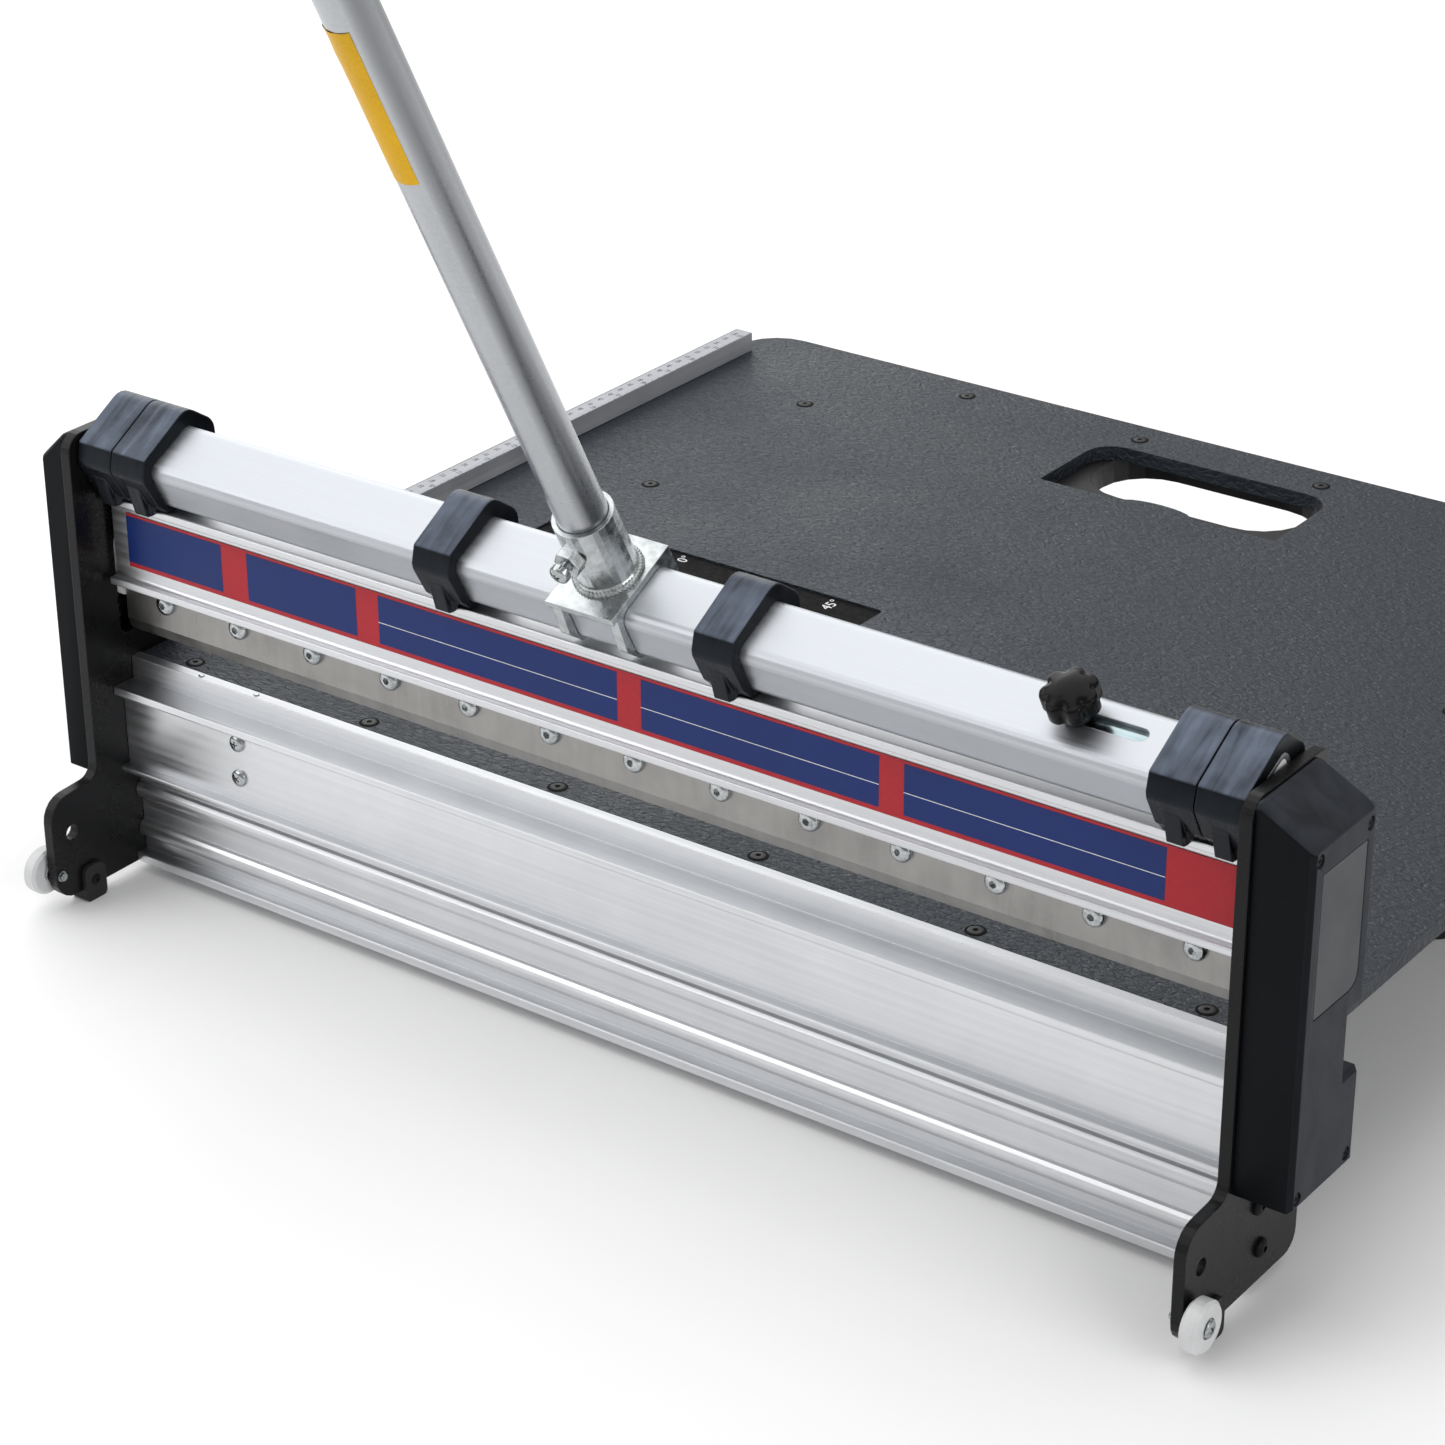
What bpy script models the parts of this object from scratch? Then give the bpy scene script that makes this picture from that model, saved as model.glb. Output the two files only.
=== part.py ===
# Laminate cutter: a hand guillotine for floor boards.
# A long handle turns a bar with six cam sleeves. The cams press a blade carrier down,
# and the blade shears past the front face of an aluminium anvil.
# X runs along the blade, Y goes back over the table, Z goes up from the floor.
import math

import bpy
import bmesh
from mathutils import Matrix, Vector

# Shared clearances and steps
seat_gap = 0.0003
slide_gap = 0.0006
overrun = 0.002
weld_sink = 0.0005
point_gap = 0.000001
arc_step = math.radians(18)
fine_arc_step = math.radians(46)
fine_round = 0.0015
round_steps = 28
middle_steps = 20
small_steps = 14
edge_round = 0.0008

# Whole cutter
clear_width = 0.690
floor_point_y = 0.185

# Side plates: an upright with a leg swept forward
plate_thick = 0.006
plate_depth = 0.0675
plate_height = 0.2585
sole_thick = 0.007
leg_reach = 0.0360
leg_height = 0.062
leg_shoulder_drop = 0.002
upright_round = 0.010
leg_round = 0.0135
rear_round = 0.006
crotch_round = 0.008
leg_hole_radius = 0.0045
leg_hole_y = -0.0216
leg_hole_rise = 0.0374
inner_face = clear_width / 2
outer_face = inner_face + plate_thick

# Pivot of the bar in the plates
pivot_y = 0.022
pivot_drop = 0.0185
pivot_z = sole_thick + plate_height - pivot_drop
stub_radius = 0.005
stub_run_gap = 0.0002
bush_wall = 0.0018
bush_lip = 0.0012
bush_lip_width = 0.0015
clip_radius = 0.0078
clip_thick = 0.0012
stub_end_length = 0.0010

# Cam: its support below the pivot grows evenly with the handle's angle
handle_swing = math.radians(105)
cam_low = 0.019
cam_lift_per_radian = 0.0115
cam_steps = 18
carrier_travel = cam_lift_per_radian * handle_swing

# Bar: a rounded box tube whose flat leans back with the handle
bar_lean = math.radians(27.6)
flat_behind_pivot = 0.003
flat_over_pivot = 0.0168
bar_width = 0.037
bar_depth = 0.030
bar_round = 0.006
bar_wall = 0.0025
bar_end_gap = 0.0015
bar_half_length = inner_face - bar_end_gap

# Cam sleeves moulded round the bar
sleeve_width = 0.0233
sleeve_pitch = 0.0239
sleeve_plate_gap = 0.0012
sleeve_inner_shares = (-0.303, 0.1893)
sleeve_brow_y = -0.0155
sleeve_brow_z = 0.0148
sleeve_front_y = -0.0176
sleeve_front_z = 0.0056
sleeve_chin_y = -0.0170
sleeve_chin_z = 0.0022
sleeve_jaw_y = -0.0082
sleeve_jaw_z = -0.0133
sleeve_toe_y = -0.0050
sleeve_toe_z = -0.0158
sleeve_heel_y = -0.0020
sleeve_crown_round = 0.0100
sleeve_crown_u = 0.0205
sleeve_crown_w = 0.0088
sleeve_corner_round = 0.0022
sleeve_jaw_round = 0.004
claw_width = 0.0138
claw_offset = -0.0007
claw_lip_gap = 0.0004
claw_front_y = -0.0074
claw_tip_width = 0.0026
claw_tip_drop = 0.0022
claw_heel_y = -0.0028
claw_heel_over = 0.0020
claw_root_y = -0.0046
claw_root_z = -0.0124
claw_taper = 0.0026
claw_side_share = 0.45

# Blade carrier: an aluminium extrusion between the plates
carrier_end_gap = 0.003
carrier_half = inner_face - carrier_end_gap
carrier_top = pivot_z - cam_low - seat_gap
lip_y = 0.019
lip_drop = 0.0043
flange_back_y = 0.051
flange_thick = 0.0037
label_y = 0.024
rib_drop = 0.0469
rib_thick = 0.0043
rib_cove = 0.006
blade_seat_y = 0.0321
web_back_y = 0.038
web_drop = 0.0707
web_round = 0.004
carrier_wall = 0.0028
chamber_split_share = 0.5
rib_under_z = carrier_top - rib_drop - rib_thick

# Printed strip on the carrier's face
strip_thick = 0.0004
strip_low_drop = 0.0392
strip_high_drop = 0.0088
strip_left_end = 0.011
strip_right_end = 0.003

# Blade
blade_thick = 0.0024
blade_height = 0.0292
blade_bevel = 0.0065
blade_flat = 0.0002
blade_back_y = blade_seat_y - seat_gap
blade_top_z = rib_under_z - seat_gap
blade_edge_z = blade_top_z - blade_height

# Slide blocks on the carrier's ends, in slots of the plates
block_width = 0.0130
block_height = 0.034
block_low_drop = 0.0610
block_y = 0.033
block_head_width = 0.018
block_head_thick = 0.005
slot_end_room = 0.003
block_low_z = carrier_top - block_low_drop

# Return springs under the slide blocks, on seats on the plates
spring_radius = 0.005
spring_wall = 0.0012
spring_floor = 0.0312
spring_stand = 0.0068
seat_thick = 0.003
seat_peg_radius = 0.0034
seat_peg_height = 0.006
seat_width = 0.016
seat_flange_height = 0.016
seat_flange_thick = 0.0025

# Anvil: the aluminium extrusion that the work rests on
throat = 0.018
anvil_top_z = blade_edge_z - throat
anvil_height = anvil_top_z - sole_thick
strip_back_y = 0.0385
upper_rib_front_y = 0.0171
upper_rib_drop = 0.0129
upper_rib_thick = 0.0048
fascia_y = 0.0242
lower_rib_front_y = 0.0181
lower_rib_share = 0.477
lower_rib_thick = 0.0031
web_front_y = 0.0315
bead_radius = 0.0055
bead_y = 0.0328
bead_shares = (0.3443, 0.1516)
bead_bore = 0.0021
base_lip_y = 0.0244
base_lip_height = 0.0056
anvil_back_y = 0.060
anvil_wall = 0.003
anvil_end_gap = 0.0003
rib_nose = 0.0008
shear_y = blade_back_y + seat_gap

# Table board behind the anvil
board_thick = 0.009
board_front_end_gap = 0.002
board_overhang = 0.006
board_half = outer_face + board_overhang
board_back_y = 0.632
board_round = 0.030
board_step_round = 0.002
board_front_y = strip_back_y + seat_gap
board_low_z = anvil_top_z - board_thick

# Hand opening in the board
hand_half_width = 0.079
hand_back_inset = 0.036
hand_depth = 0.0715
hand_back_y = board_back_y - hand_back_inset
hand_front_y = hand_back_y - hand_depth
hand_round = 0.018
hand_front_round = 0.002
hand_dome_half = 0.023
hand_dome_rise = 0.0075
dome_steps = 10

# Carrying frame under the hand opening
grip_side = 0.029
grip_back_inset = 0.002
grip_front_bar = 0.026
grip_back_bar = 0.012
grip_thick = 0.015
grip_hole_half = 0.071
grip_hole_depth = 0.072
grip_back_y = board_back_y - grip_back_inset
grip_hole_back_y = grip_back_y - grip_back_bar
grip_hole_front_y = grip_hole_back_y - grip_hole_depth
grip_front_y = grip_hole_front_y - grip_front_bar
grip_half_width = grip_hole_half + grip_side
grip_hole_round = 0.033
grip_outer_round = 0.020

# Shallow guide field on the board
guide_inset = 0.081
guide_length = 0.2275
guide_front_y = 0.260
guide_back_y = 0.315
guide_depth = 0.0012
guide_round = 0.003

# Fence along the board's left edge
fence_inset = 0.001
fence_width = 0.0123
fence_plate_gap = 0.0022
fence_back_inset = 0.034
fence_height = 0.012
fence_groove = 0.0008
fence_groove_in = 0.0055
fence_groove_width = 0.0012

# Legs under the board
leg_inset = 0.095
leg_back_insets = (0.2486, 0.0903)
post_radius = 0.013
post_foot_radius = 0.010
post_flange_radius = 0.020
post_flange_thick = 0.004
post_fillet = 0.004
pad_height = 0.012
pad_radius = 0.0125
pad_cup = 0.005
pad_lip = 0.0018

# Feet wrapped round the plates' lower edges
foot_front_y = -0.018
foot_back_y = -0.0026
foot_wall = 0.0027
foot_height = 0.0212
foot_round = 0.005
foot_edge_round = 0.003

# Covers outside the plates
right_cover_depth = 0.0292
left_cover_depth = 0.0180
cover_wall = 0.0022
cover_front_y = 0.002
cover_low_share = 0.510
cover_low_z = sole_thick + anvil_height * cover_low_share
cover_top_drop = 0.0012
cover_slant = 0.0130
cover_back_y = 0.058
cover_step_back_y = 0.059
cover_notch_y = 0.045
cover_step_under_board = 0.001
cover_notch_over_anvil = 0.0235
cover_round = 0.004
cover_edge = 0.0022
cover_notch_round = 0.0012
cover_brim = 0.0020
panel_front_y = 0.0102
panel_back_y = 0.0505
panel_top_drop = 0.0295
panel_height = 0.072
panel_depth = 0.0006
panel_round = 0.001
panel_cut_round = 0.008

# Wheels beside the legs
wheel_radius = 0.0130
wheel_width = 0.0087
wheel_y = -0.032
wheel_rise = 0.015
wheel_edge = 0.0015
wheel_hub_radius = 0.0052
wheel_hub_step = 0.0014
axle_radius = 0.003
axle_tip_radius = 0.0023
axle_tip_length = 0.0020
axle_cap_radius = 0.0046
axle_cap_rise = 0.0004
axle_cap_nose_radius = 0.0036
axle_spacer_radius = 0.005
axle_spacer_length = 0.0018

# End plugs of the bar
plug_length = 0.033
plug_inset = 0.0015
plug_round = 0.0032
pin_radius = 0.0035
pin_gap = 0.0004
pin_lead = 0.012

# Lock pin inside the bar, with its knob on a stud through a slot
lock_u = 0.0030
lock_depth = 0.0095
lock_travel = 0.032
lock_knob_inset = 0.0955
lock_knob_x = bar_half_length - lock_knob_inset
lock_slot_width = 0.0076
lock_stud_radius = 0.0027
lock_rod_tail = 0.010
lock_stud_top = 0.0105
knob_radius = 0.0143
knob_lobes = 7
knob_lobe_depth = 0.0018
knob_low = 0.0080
knob_high = 0.0172
knob_dome_rise = 0.0030
knob_dome_share = 0.70
knob_crown_share = 0.34
knob_point_share = 0.72
knob_boss_radius = 0.0072
knob_boss_low = 0.0004
knob_steps = 56
knob_bore_depth = 0.0112
knob_edge = 0.0016

# Handle bracket: a plate on the flat with two rings round the bar
bracket_left_x = -0.0306
bracket_right_x = 0.0097
bracket_front_u = -0.0245
bracket_back_u = 0.0255
bracket_thick = 0.0038
bracket_ring = 0.0055
ring_cam_cut = 0.0008
ring_swing_share = 0.80
ring_front_y = -0.0168
ring_front_z = 0.0083
ring_jaw_y = -0.0090
ring_jaw_z = -0.0116
ring_toe_y = 0.0013
ring_round = 0.003

# Handle socket, clamp bolt, tube and grip
socket_radius = 0.0155
socket_bore = 0.0130
socket_height = 0.040
socket_u = 0.0024
weld_bead = 0.0022
weld_belly_share = 0.7
weld_top_share = 1.4
tube_radius = 0.0127
tube_wall = 0.0018
tube_stand = 0.004
tube_length = 0.585
clamp_rise = 0.0254
clamp_nut_flats = 0.013
clamp_nut_length = 0.0055
clamp_shank_radius = 0.0030
clamp_shank_show = 0.0035
clamp_head_radius = 0.0052
clamp_head_length = 0.0050
clamp_swing = math.radians(-2)
hand_grip_length = 0.130
hand_grip_radius = 0.0165
hand_grip_end = 0.006
hand_grip_rib = 0.0012
hand_grip_ribs = 7
hand_grip_collar = 0.004
grip_rib_share = 0.45


def wipe():
    for item in list(bpy.data.objects):
        bpy.data.objects.remove(item, do_unlink=True)


def material(name, colour, roughness, metallic=0.0):
    made = bpy.data.materials.new(name)
    made.use_nodes = True
    shader = made.node_tree.nodes["Principled BSDF"]
    shader.inputs["Base Color"].default_value = (*colour, 1.0)
    shader.inputs["Roughness"].default_value = roughness
    shader.inputs["Metallic"].default_value = metallic
    made.diffuse_color = (*colour, 1.0)
    return made


def empty(name, at, parent=None, turn=(0.0, 0.0, 0.0)):
    made = bpy.data.objects.new(name, None)
    made.location = at
    made.rotation_euler = turn
    made.parent = parent
    bpy.context.collection.objects.link(made)
    return made


def tidy(points):
    # drops points that fall on the one before
    kept = []
    for point in points:
        if not kept or (Vector(point) - Vector(kept[-1])).length > point_gap:
            kept.append(point)
    if (Vector(kept[0]) - Vector(kept[-1])).length <= point_gap:
        kept.pop()
    return kept


def rounded(corners):
    # an outline through (a, b, radius) corners, each rounded by its own radius
    outline = []
    for index, (a, b, radius) in enumerate(corners):
        here = Vector((a, b))
        back = Vector(corners[index - 1][:2]) - here
        ahead = Vector(corners[(index + 1) % len(corners)][:2]) - here
        if radius <= 0:
            outline.append(tuple(here))
            continue
        half = back.angle(ahead) / 2
        reach = min(radius / math.tan(half), back.length / 2, ahead.length / 2)
        middle = here + (back.normalized() + ahead.normalized()).normalized() * (reach / math.cos(half))
        arm = here + back.normalized() * reach - middle
        far = here + ahead.normalized() * reach - middle
        turn = math.pi - 2 * half
        steps = math.ceil(turn / (arc_step if radius > fine_round else fine_arc_step))
        way = 1 if arm.x * far.y - arm.y * far.x > 0 else -1
        for step in range(steps + 1):
            angle = way * turn * step / steps
            x = arm.x * math.cos(angle) - arm.y * math.sin(angle)
            y = arm.x * math.sin(angle) + arm.y * math.cos(angle)
            outline.append((middle.x + x, middle.y + y))
    return tidy(outline)


def box_outline(a_low, a_high, b_low, b_high, radius):
    corners = [(a_low, b_low), (a_high, b_low), (a_high, b_high), (a_low, b_high)]
    return rounded([(a, b, radius) for a, b in corners])


def circle(a, b, radius, steps=small_steps):
    angles = [2 * math.pi * step / steps for step in range(steps)]
    return [(a + radius * math.cos(angle), b + radius * math.sin(angle)) for angle in angles]


def lift(point, level, axis):
    # a point of an outline set at a level along the axis it is drawn across
    a, b = point
    return {"X": Vector((level, a, b)), "Y": Vector((a, level, b)), "Z": Vector((a, b, level))}[axis]


def extruded(loops, start, end, axis):
    # the first loop is the outer edge, the others are holes
    shape = bmesh.new()
    edges = []
    for loop in loops:
        verts = [shape.verts.new(lift(point, start, axis)) for point in loop]
        for index, vert in enumerate(verts):
            edges.append(shape.edges.new((verts[index - 1], vert)))
    if len(loops) > 1:
        bmesh.ops.triangle_fill(shape, use_beauty=True, use_dissolve=False, edges=edges)
    else:
        shape.faces.new(verts)
    grown = bmesh.ops.extrude_face_region(shape, geom=shape.faces[:])
    moved = [item for item in grown["geom"] if isinstance(item, bmesh.types.BMVert)]
    shift = lift((0.0, 0.0), end - start, axis)
    bmesh.ops.translate(shape, verts=moved, vec=shift)
    bmesh.ops.recalc_face_normals(shape, faces=shape.faces[:])
    return shape


def turned(profile, steps=round_steps, ring=False):
    # turns a (radius, height) profile about Z; a ring's profile closes on itself
    shape = bmesh.new()
    verts = [shape.verts.new((radius, 0.0, height)) for radius, height in profile]
    edges = [shape.edges.new((a, b)) for a, b in zip(verts, verts[1:])]
    if ring:
        edges.append(shape.edges.new((verts[-1], verts[0])))
    bmesh.ops.spin(shape, geom=verts + edges, cent=(0, 0, 0), axis=(0, 0, 1), dvec=(0, 0, 0),
                   angle=2 * math.pi, steps=steps, use_merge=True, use_duplicate=False)
    bmesh.ops.remove_doubles(shape, verts=shape.verts[:], dist=point_gap)
    bmesh.ops.recalc_face_normals(shape, faces=shape.faces[:])
    return shape


def lofted(sections):
    # skins outlines with the same number of points and closes both ends
    shape = bmesh.new()
    rows = [[shape.verts.new(point) for point in section] for section in sections]
    for low, high in zip(rows, rows[1:]):
        for index in range(len(low)):
            shape.faces.new((low[index - 1], low[index], high[index], high[index - 1]))
    shape.faces.new(rows[0][::-1])
    shape.faces.new(rows[-1])
    bmesh.ops.recalc_face_normals(shape, faces=shape.faces[:])
    return shape


def along_x(shape, way=1):
    # lays a turned shape's axis along X, towards +X or -X
    bmesh.ops.transform(shape, matrix=Matrix.Rotation(way * math.pi / 2, 4, "Y"), verts=shape.verts[:])
    return shape


def shifted(shape, x, y, z):
    bmesh.ops.translate(shape, verts=shape.verts[:], vec=(x, y, z))
    return shape


def mesh_of(name, shape, smooth=True):
    made = bpy.data.meshes.new(name)
    shape.to_mesh(made)
    shape.free()
    if smooth:
        made.shade_smooth()
        made.set_sharp_from_angle(angle=math.radians(30))
    return made


def add(name, shape, paint, parent, at=(0.0, 0.0, 0.0), smooth=True):
    # makes a piece from a shape, or from a mesh that another piece shares
    made_mesh = shape if isinstance(shape, bpy.types.Mesh) else mesh_of(name, shape, smooth)
    if not made_mesh.materials:
        made_mesh.materials.append(paint)
    made = bpy.data.objects.new(name, made_mesh)
    made.parent = parent
    made.location = at
    bpy.context.collection.objects.link(made)
    return made


def combine(piece, tool_name, shape, operation):
    # cuts or joins one piece with a helper solid that stays hidden
    tool = bpy.data.objects.new(tool_name, mesh_of(tool_name, shape))
    tool.parent = piece.parent
    tool.location = piece.location
    tool.hide_render = True
    tool.display_type = "WIRE"
    bpy.context.collection.objects.link(tool)
    change = piece.modifiers.new(tool_name, "BOOLEAN")
    change.operation = operation
    change.solver = "EXACT"
    change.object = tool
    return tool


def cam_point(angle, cut=0.0):
    # where the cam touches the carrier at this angle, relative to the pivot
    support = cam_low - cut + cam_lift_per_radian * angle
    down = Vector((math.sin(angle), -math.cos(angle)))
    side = Vector((math.cos(angle), math.sin(angle)))
    return down * support + side * cam_lift_per_radian


def cam_curve(swing, cut=0.0):
    points = [cam_point(swing * step / cam_steps, cut) for step in range(cam_steps + 1)]
    return [tuple(point) for point in points]


def in_bar(u, w):
    # a place on the bar's own flat, across it (u) and out of it (w), from the pivot
    across = Vector((math.cos(bar_lean), math.sin(bar_lean)))
    out = Vector((-math.sin(bar_lean), math.cos(bar_lean)))
    flat = Vector((flat_behind_pivot, flat_over_pivot))
    return tuple(flat + across * u + out * w)


def bar_section(grow):
    # the bar's rounded box outline, grown or shrunk, from the pivot
    half = bar_width / 2 + grow
    radius = max(bar_round + grow, edge_round)
    corners = [(-half, -bar_depth - grow), (half, -bar_depth - grow), (half, grow), (-half, grow)]
    return rounded([(*in_bar(u, w), radius) for u, w in corners])


def hexagon(flats):
    radius = flats / math.sqrt(3)
    angles = [math.pi * step / 3 for step in range(6)]
    return [(radius * math.cos(angle), radius * math.sin(angle)) for angle in angles]


def side_plate(side, name, paint, parent):
    low = sole_thick
    outline = rounded([
        (plate_depth, low, upright_round),
        (plate_depth, low + plate_height, rear_round),
        (0.0, low + plate_height, upright_round),
        (0.0, low + leg_height, crotch_round),
        (-leg_reach, low + leg_height - leg_shoulder_drop, leg_round),
        (-leg_reach, low, leg_round),
    ])
    slot_low = block_low_z - carrier_travel - slot_end_room
    slot_high = block_low_z + block_height + slot_end_room
    slot_half = block_width / 2 + slide_gap
    loops = [
        outline,
        circle(leg_hole_y, low + leg_hole_rise, leg_hole_radius),
        circle(wheel_y, low + wheel_rise, axle_radius + seat_gap, small_steps),
        circle(pivot_y, pivot_z, stub_radius + stub_run_gap + bush_wall + seat_gap, round_steps),
        box_outline(block_y - slot_half, block_y + slot_half, slot_low, slot_high, slot_half),
    ]
    if side > 0:
        for angle in (0.0, handle_swing):
            y, z = lock_place(angle)
            loops.append(circle(pivot_y + y, pivot_z + z, pin_radius + pin_gap, small_steps))
    return add(name, extruded(loops, side * inner_face, side * outer_face, "X"), paint, parent)


def lock_place(angle):
    # the lock pin's axis from the pivot, with the handle at this angle
    y, z = in_bar(lock_u, -lock_depth)
    return (y * math.cos(angle) + z * math.sin(angle), z * math.cos(angle) - y * math.sin(angle))


def bead(rise):
    # half-round screw bead standing out of the anvil's lower web, top to bottom
    half = math.acos((bead_y - web_front_y) / bead_radius)
    steps = small_steps // 2
    angles = [half - 2 * half * step / steps for step in range(steps + 1)]
    middle = sole_thick + rise
    points = [(bead_radius * math.cos(angle), bead_radius * math.sin(angle)) for angle in angles]
    return [(bead_y - forward, middle + up) for forward, up in points]


def anvil(paint, parent):
    low = sole_thick
    top = anvil_top_z
    ledge = board_low_z - seat_gap
    upper_high = top - upper_rib_drop
    upper_low = upper_high - upper_rib_thick
    lower_low = low + anvil_height * lower_rib_share
    bead_rises = [anvil_height * share for share in bead_shares]
    lower_high = lower_low + lower_rib_thick
    front = rounded([
        (shear_y, top, 0.0),
        (shear_y, upper_high, 0.0),
        (upper_rib_front_y, upper_high, rib_nose),
        (upper_rib_front_y, upper_low, rib_nose),
        (fascia_y, upper_low, 0.0),
        (fascia_y, lower_high, 0.0),
        (lower_rib_front_y, lower_high, rib_nose),
        (lower_rib_front_y, lower_low, rib_nose),
        (web_front_y, lower_low, 0.0),
    ])
    for rise in bead_rises:
        front += bead(rise)
    back = rounded([
        (web_front_y, low + base_lip_height, 0.0),
        (base_lip_y, low + base_lip_height, rib_nose),
        (base_lip_y, low, rib_nose),
        (anvil_back_y, low, rib_nose),
        (anvil_back_y, ledge, rib_nose),
        (strip_back_y, ledge, 0.0),
        (strip_back_y, top, 0.0),
    ])
    inner_back = anvil_back_y - anvil_wall
    upper = rounded([
        (fascia_y + anvil_wall, lower_high, edge_round),
        (inner_back, lower_high, edge_round),
        (inner_back, ledge - anvil_wall, edge_round),
        (shear_y + anvil_wall, ledge - anvil_wall, edge_round),
        (shear_y + anvil_wall, upper_low - anvil_wall, edge_round),
        (fascia_y + anvil_wall, upper_low - anvil_wall, edge_round),
    ])
    inner_front = bead_y + bead_radius
    lower = box_outline(inner_front, inner_back, low + anvil_wall, lower_low - anvil_wall, edge_round)
    loops = [tidy(front + back), upper, lower]
    for rise in bead_rises:
        loops.append(circle(bead_y, low + rise, bead_bore, small_steps // 2))
    half = inner_face - anvil_end_gap
    return add("anvil_extrusion", extruded(loops, -half, half, "X"), paint, parent)


def table_board(paint, parent):
    narrow = inner_face - board_front_end_gap
    wide = board_half
    step_y = plate_depth + seat_gap
    outline = rounded([
        (-narrow, board_front_y, 0.0),
        (narrow, board_front_y, 0.0),
        (narrow, step_y, 0.0),
        (wide, step_y, board_step_round),
        (wide, board_back_y, board_round),
        (-wide, board_back_y, board_round),
        (-wide, step_y, board_step_round),
        (-narrow, step_y, 0.0),
    ])
    dome = []
    for step in range(dome_steps + 1):
        angle = math.pi - math.pi * step / dome_steps
        dome.append((hand_dome_half * math.cos(angle), hand_front_y + hand_dome_rise * math.sin(angle), 0.0))
    opening = rounded([
        (-hand_half_width, hand_front_y, hand_front_round),
        *dome,
        (hand_half_width, hand_front_y, hand_front_round),
        (hand_half_width, hand_back_y, hand_round),
        (-hand_half_width, hand_back_y, hand_round),
    ])
    board = add("table_board", extruded([outline, opening], board_low_z, anvil_top_z, "Z"), paint, parent)
    guide_left = -board_half + guide_inset
    field = box_outline(guide_left, guide_left + guide_length, guide_front_y, guide_back_y, guide_round)
    cutter = extruded([field], anvil_top_z - guide_depth, anvil_top_z + overrun, "Z")
    combine(board, "cut_guide_field", cutter, "DIFFERENCE")
    return board


def carrying_frame(paint, parent):
    outline = box_outline(-grip_half_width, grip_half_width, grip_front_y, grip_back_y, grip_outer_round)
    hole = box_outline(-grip_hole_half, grip_hole_half, grip_hole_front_y, grip_hole_back_y, grip_hole_round)
    top = board_low_z - seat_gap
    return add("carrying_frame", extruded([outline, hole], top - grip_thick, top, "Z"), paint, parent)


def fence(paint, parent):
    low = anvil_top_z + seat_gap
    high = low + fence_height
    left = -board_half + fence_inset
    right = left + fence_width
    groove_left = left + fence_groove_in
    groove_right = groove_left + fence_groove_width
    section = [
        (left, low),
        (right, low),
        (right, high),
        (groove_right, high),
        (groove_right, high - fence_groove),
        (groove_left, high - fence_groove),
        (groove_left, high),
        (left, high),
    ]
    start = plate_depth + fence_plate_gap
    return add("fence_ruler", extruded([section], start, board_back_y - fence_back_inset, "Y"), paint, parent)


def table_legs(post_paint, pad_paint, parent):
    top = board_low_z - seat_gap
    cup_top = pad_height + seat_gap
    post = turned([
        (0.0, cup_top),
        (post_foot_radius, cup_top),
        (post_foot_radius, cup_top + pad_cup),
        (post_radius, cup_top + pad_cup + post_fillet),
        (post_radius, top - post_flange_thick - post_fillet),
        (post_radius + post_fillet, top - post_flange_thick),
        (post_flange_radius, top - post_flange_thick),
        (post_flange_radius, top),
        (0.0, top),
    ], middle_steps)
    inner = post_foot_radius + seat_gap
    pad = turned([
        (0.0, 0.0),
        (pad_radius - edge_round, 0.0),
        (pad_radius, edge_round),
        (inner + pad_lip, cup_top + pad_cup),
        (inner, cup_top + pad_cup),
        (inner, pad_height),
        (0.0, pad_height),
    ], middle_steps)
    post_mesh = mesh_of("table_leg", post)
    pad_mesh = mesh_of("leg_pad", pad)
    for row, inset in zip(("front", "rear"), leg_back_insets):
        for side, word in ((-1, "left"), (1, "right")):
            place = (side * (board_half - leg_inset), board_back_y - inset, 0.0)
            add(f"table_leg_{row}_{word}", post_mesh, post_paint, parent, place)
            add(f"leg_pad_{row}_{word}", pad_mesh, pad_paint, parent, place)


def foot(side, name, paint, parent):
    inner = side * (inner_face - seat_gap - foot_wall)
    outer = side * (outer_face + seat_gap + foot_wall)
    outline = rounded([
        (foot_front_y, 0.0, foot_edge_round),
        (foot_back_y, 0.0, foot_edge_round),
        (foot_back_y, foot_height, foot_round),
        (foot_front_y, foot_height, foot_round),
    ])
    made = add(name, extruded([outline], inner, outer, "X"), paint, parent)
    near = side * (inner_face - seat_gap)
    far = side * (outer_face + seat_gap)
    slot = [
        (foot_front_y - overrun, sole_thick - seat_gap),
        (foot_back_y + overrun, sole_thick - seat_gap),
        (foot_back_y + overrun, foot_height + overrun),
        (foot_front_y - overrun, foot_height + overrun),
    ]
    combine(made, "cut_" + name, extruded([slot], near, far, "X"), "DIFFERENCE")
    return made


def cover_outline(inset, slant):
    # the cover's outline seen from its side, drawn in by a wall and slanted at the top
    low = cover_low_z + inset
    high = sole_thick + plate_height - cover_top_drop - inset - slant
    step = board_low_z - cover_step_under_board - inset
    notch = anvil_top_z + cover_notch_over_anvil + inset
    front = cover_front_y + inset
    round_in = max(cover_notch_round - inset, edge_round / 2)
    round_out = max(cover_round - inset, edge_round)
    return rounded([
        (front, low, round_in),
        (cover_step_back_y - inset, low, round_in),
        (cover_step_back_y - inset, step, round_in),
        (cover_notch_y - inset, step, round_in),
        (cover_notch_y - inset, notch, round_in),
        (cover_back_y - inset, notch, round_in),
        (cover_back_y - inset, high, round_out),
        (front, high, round_out),
    ])


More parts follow.
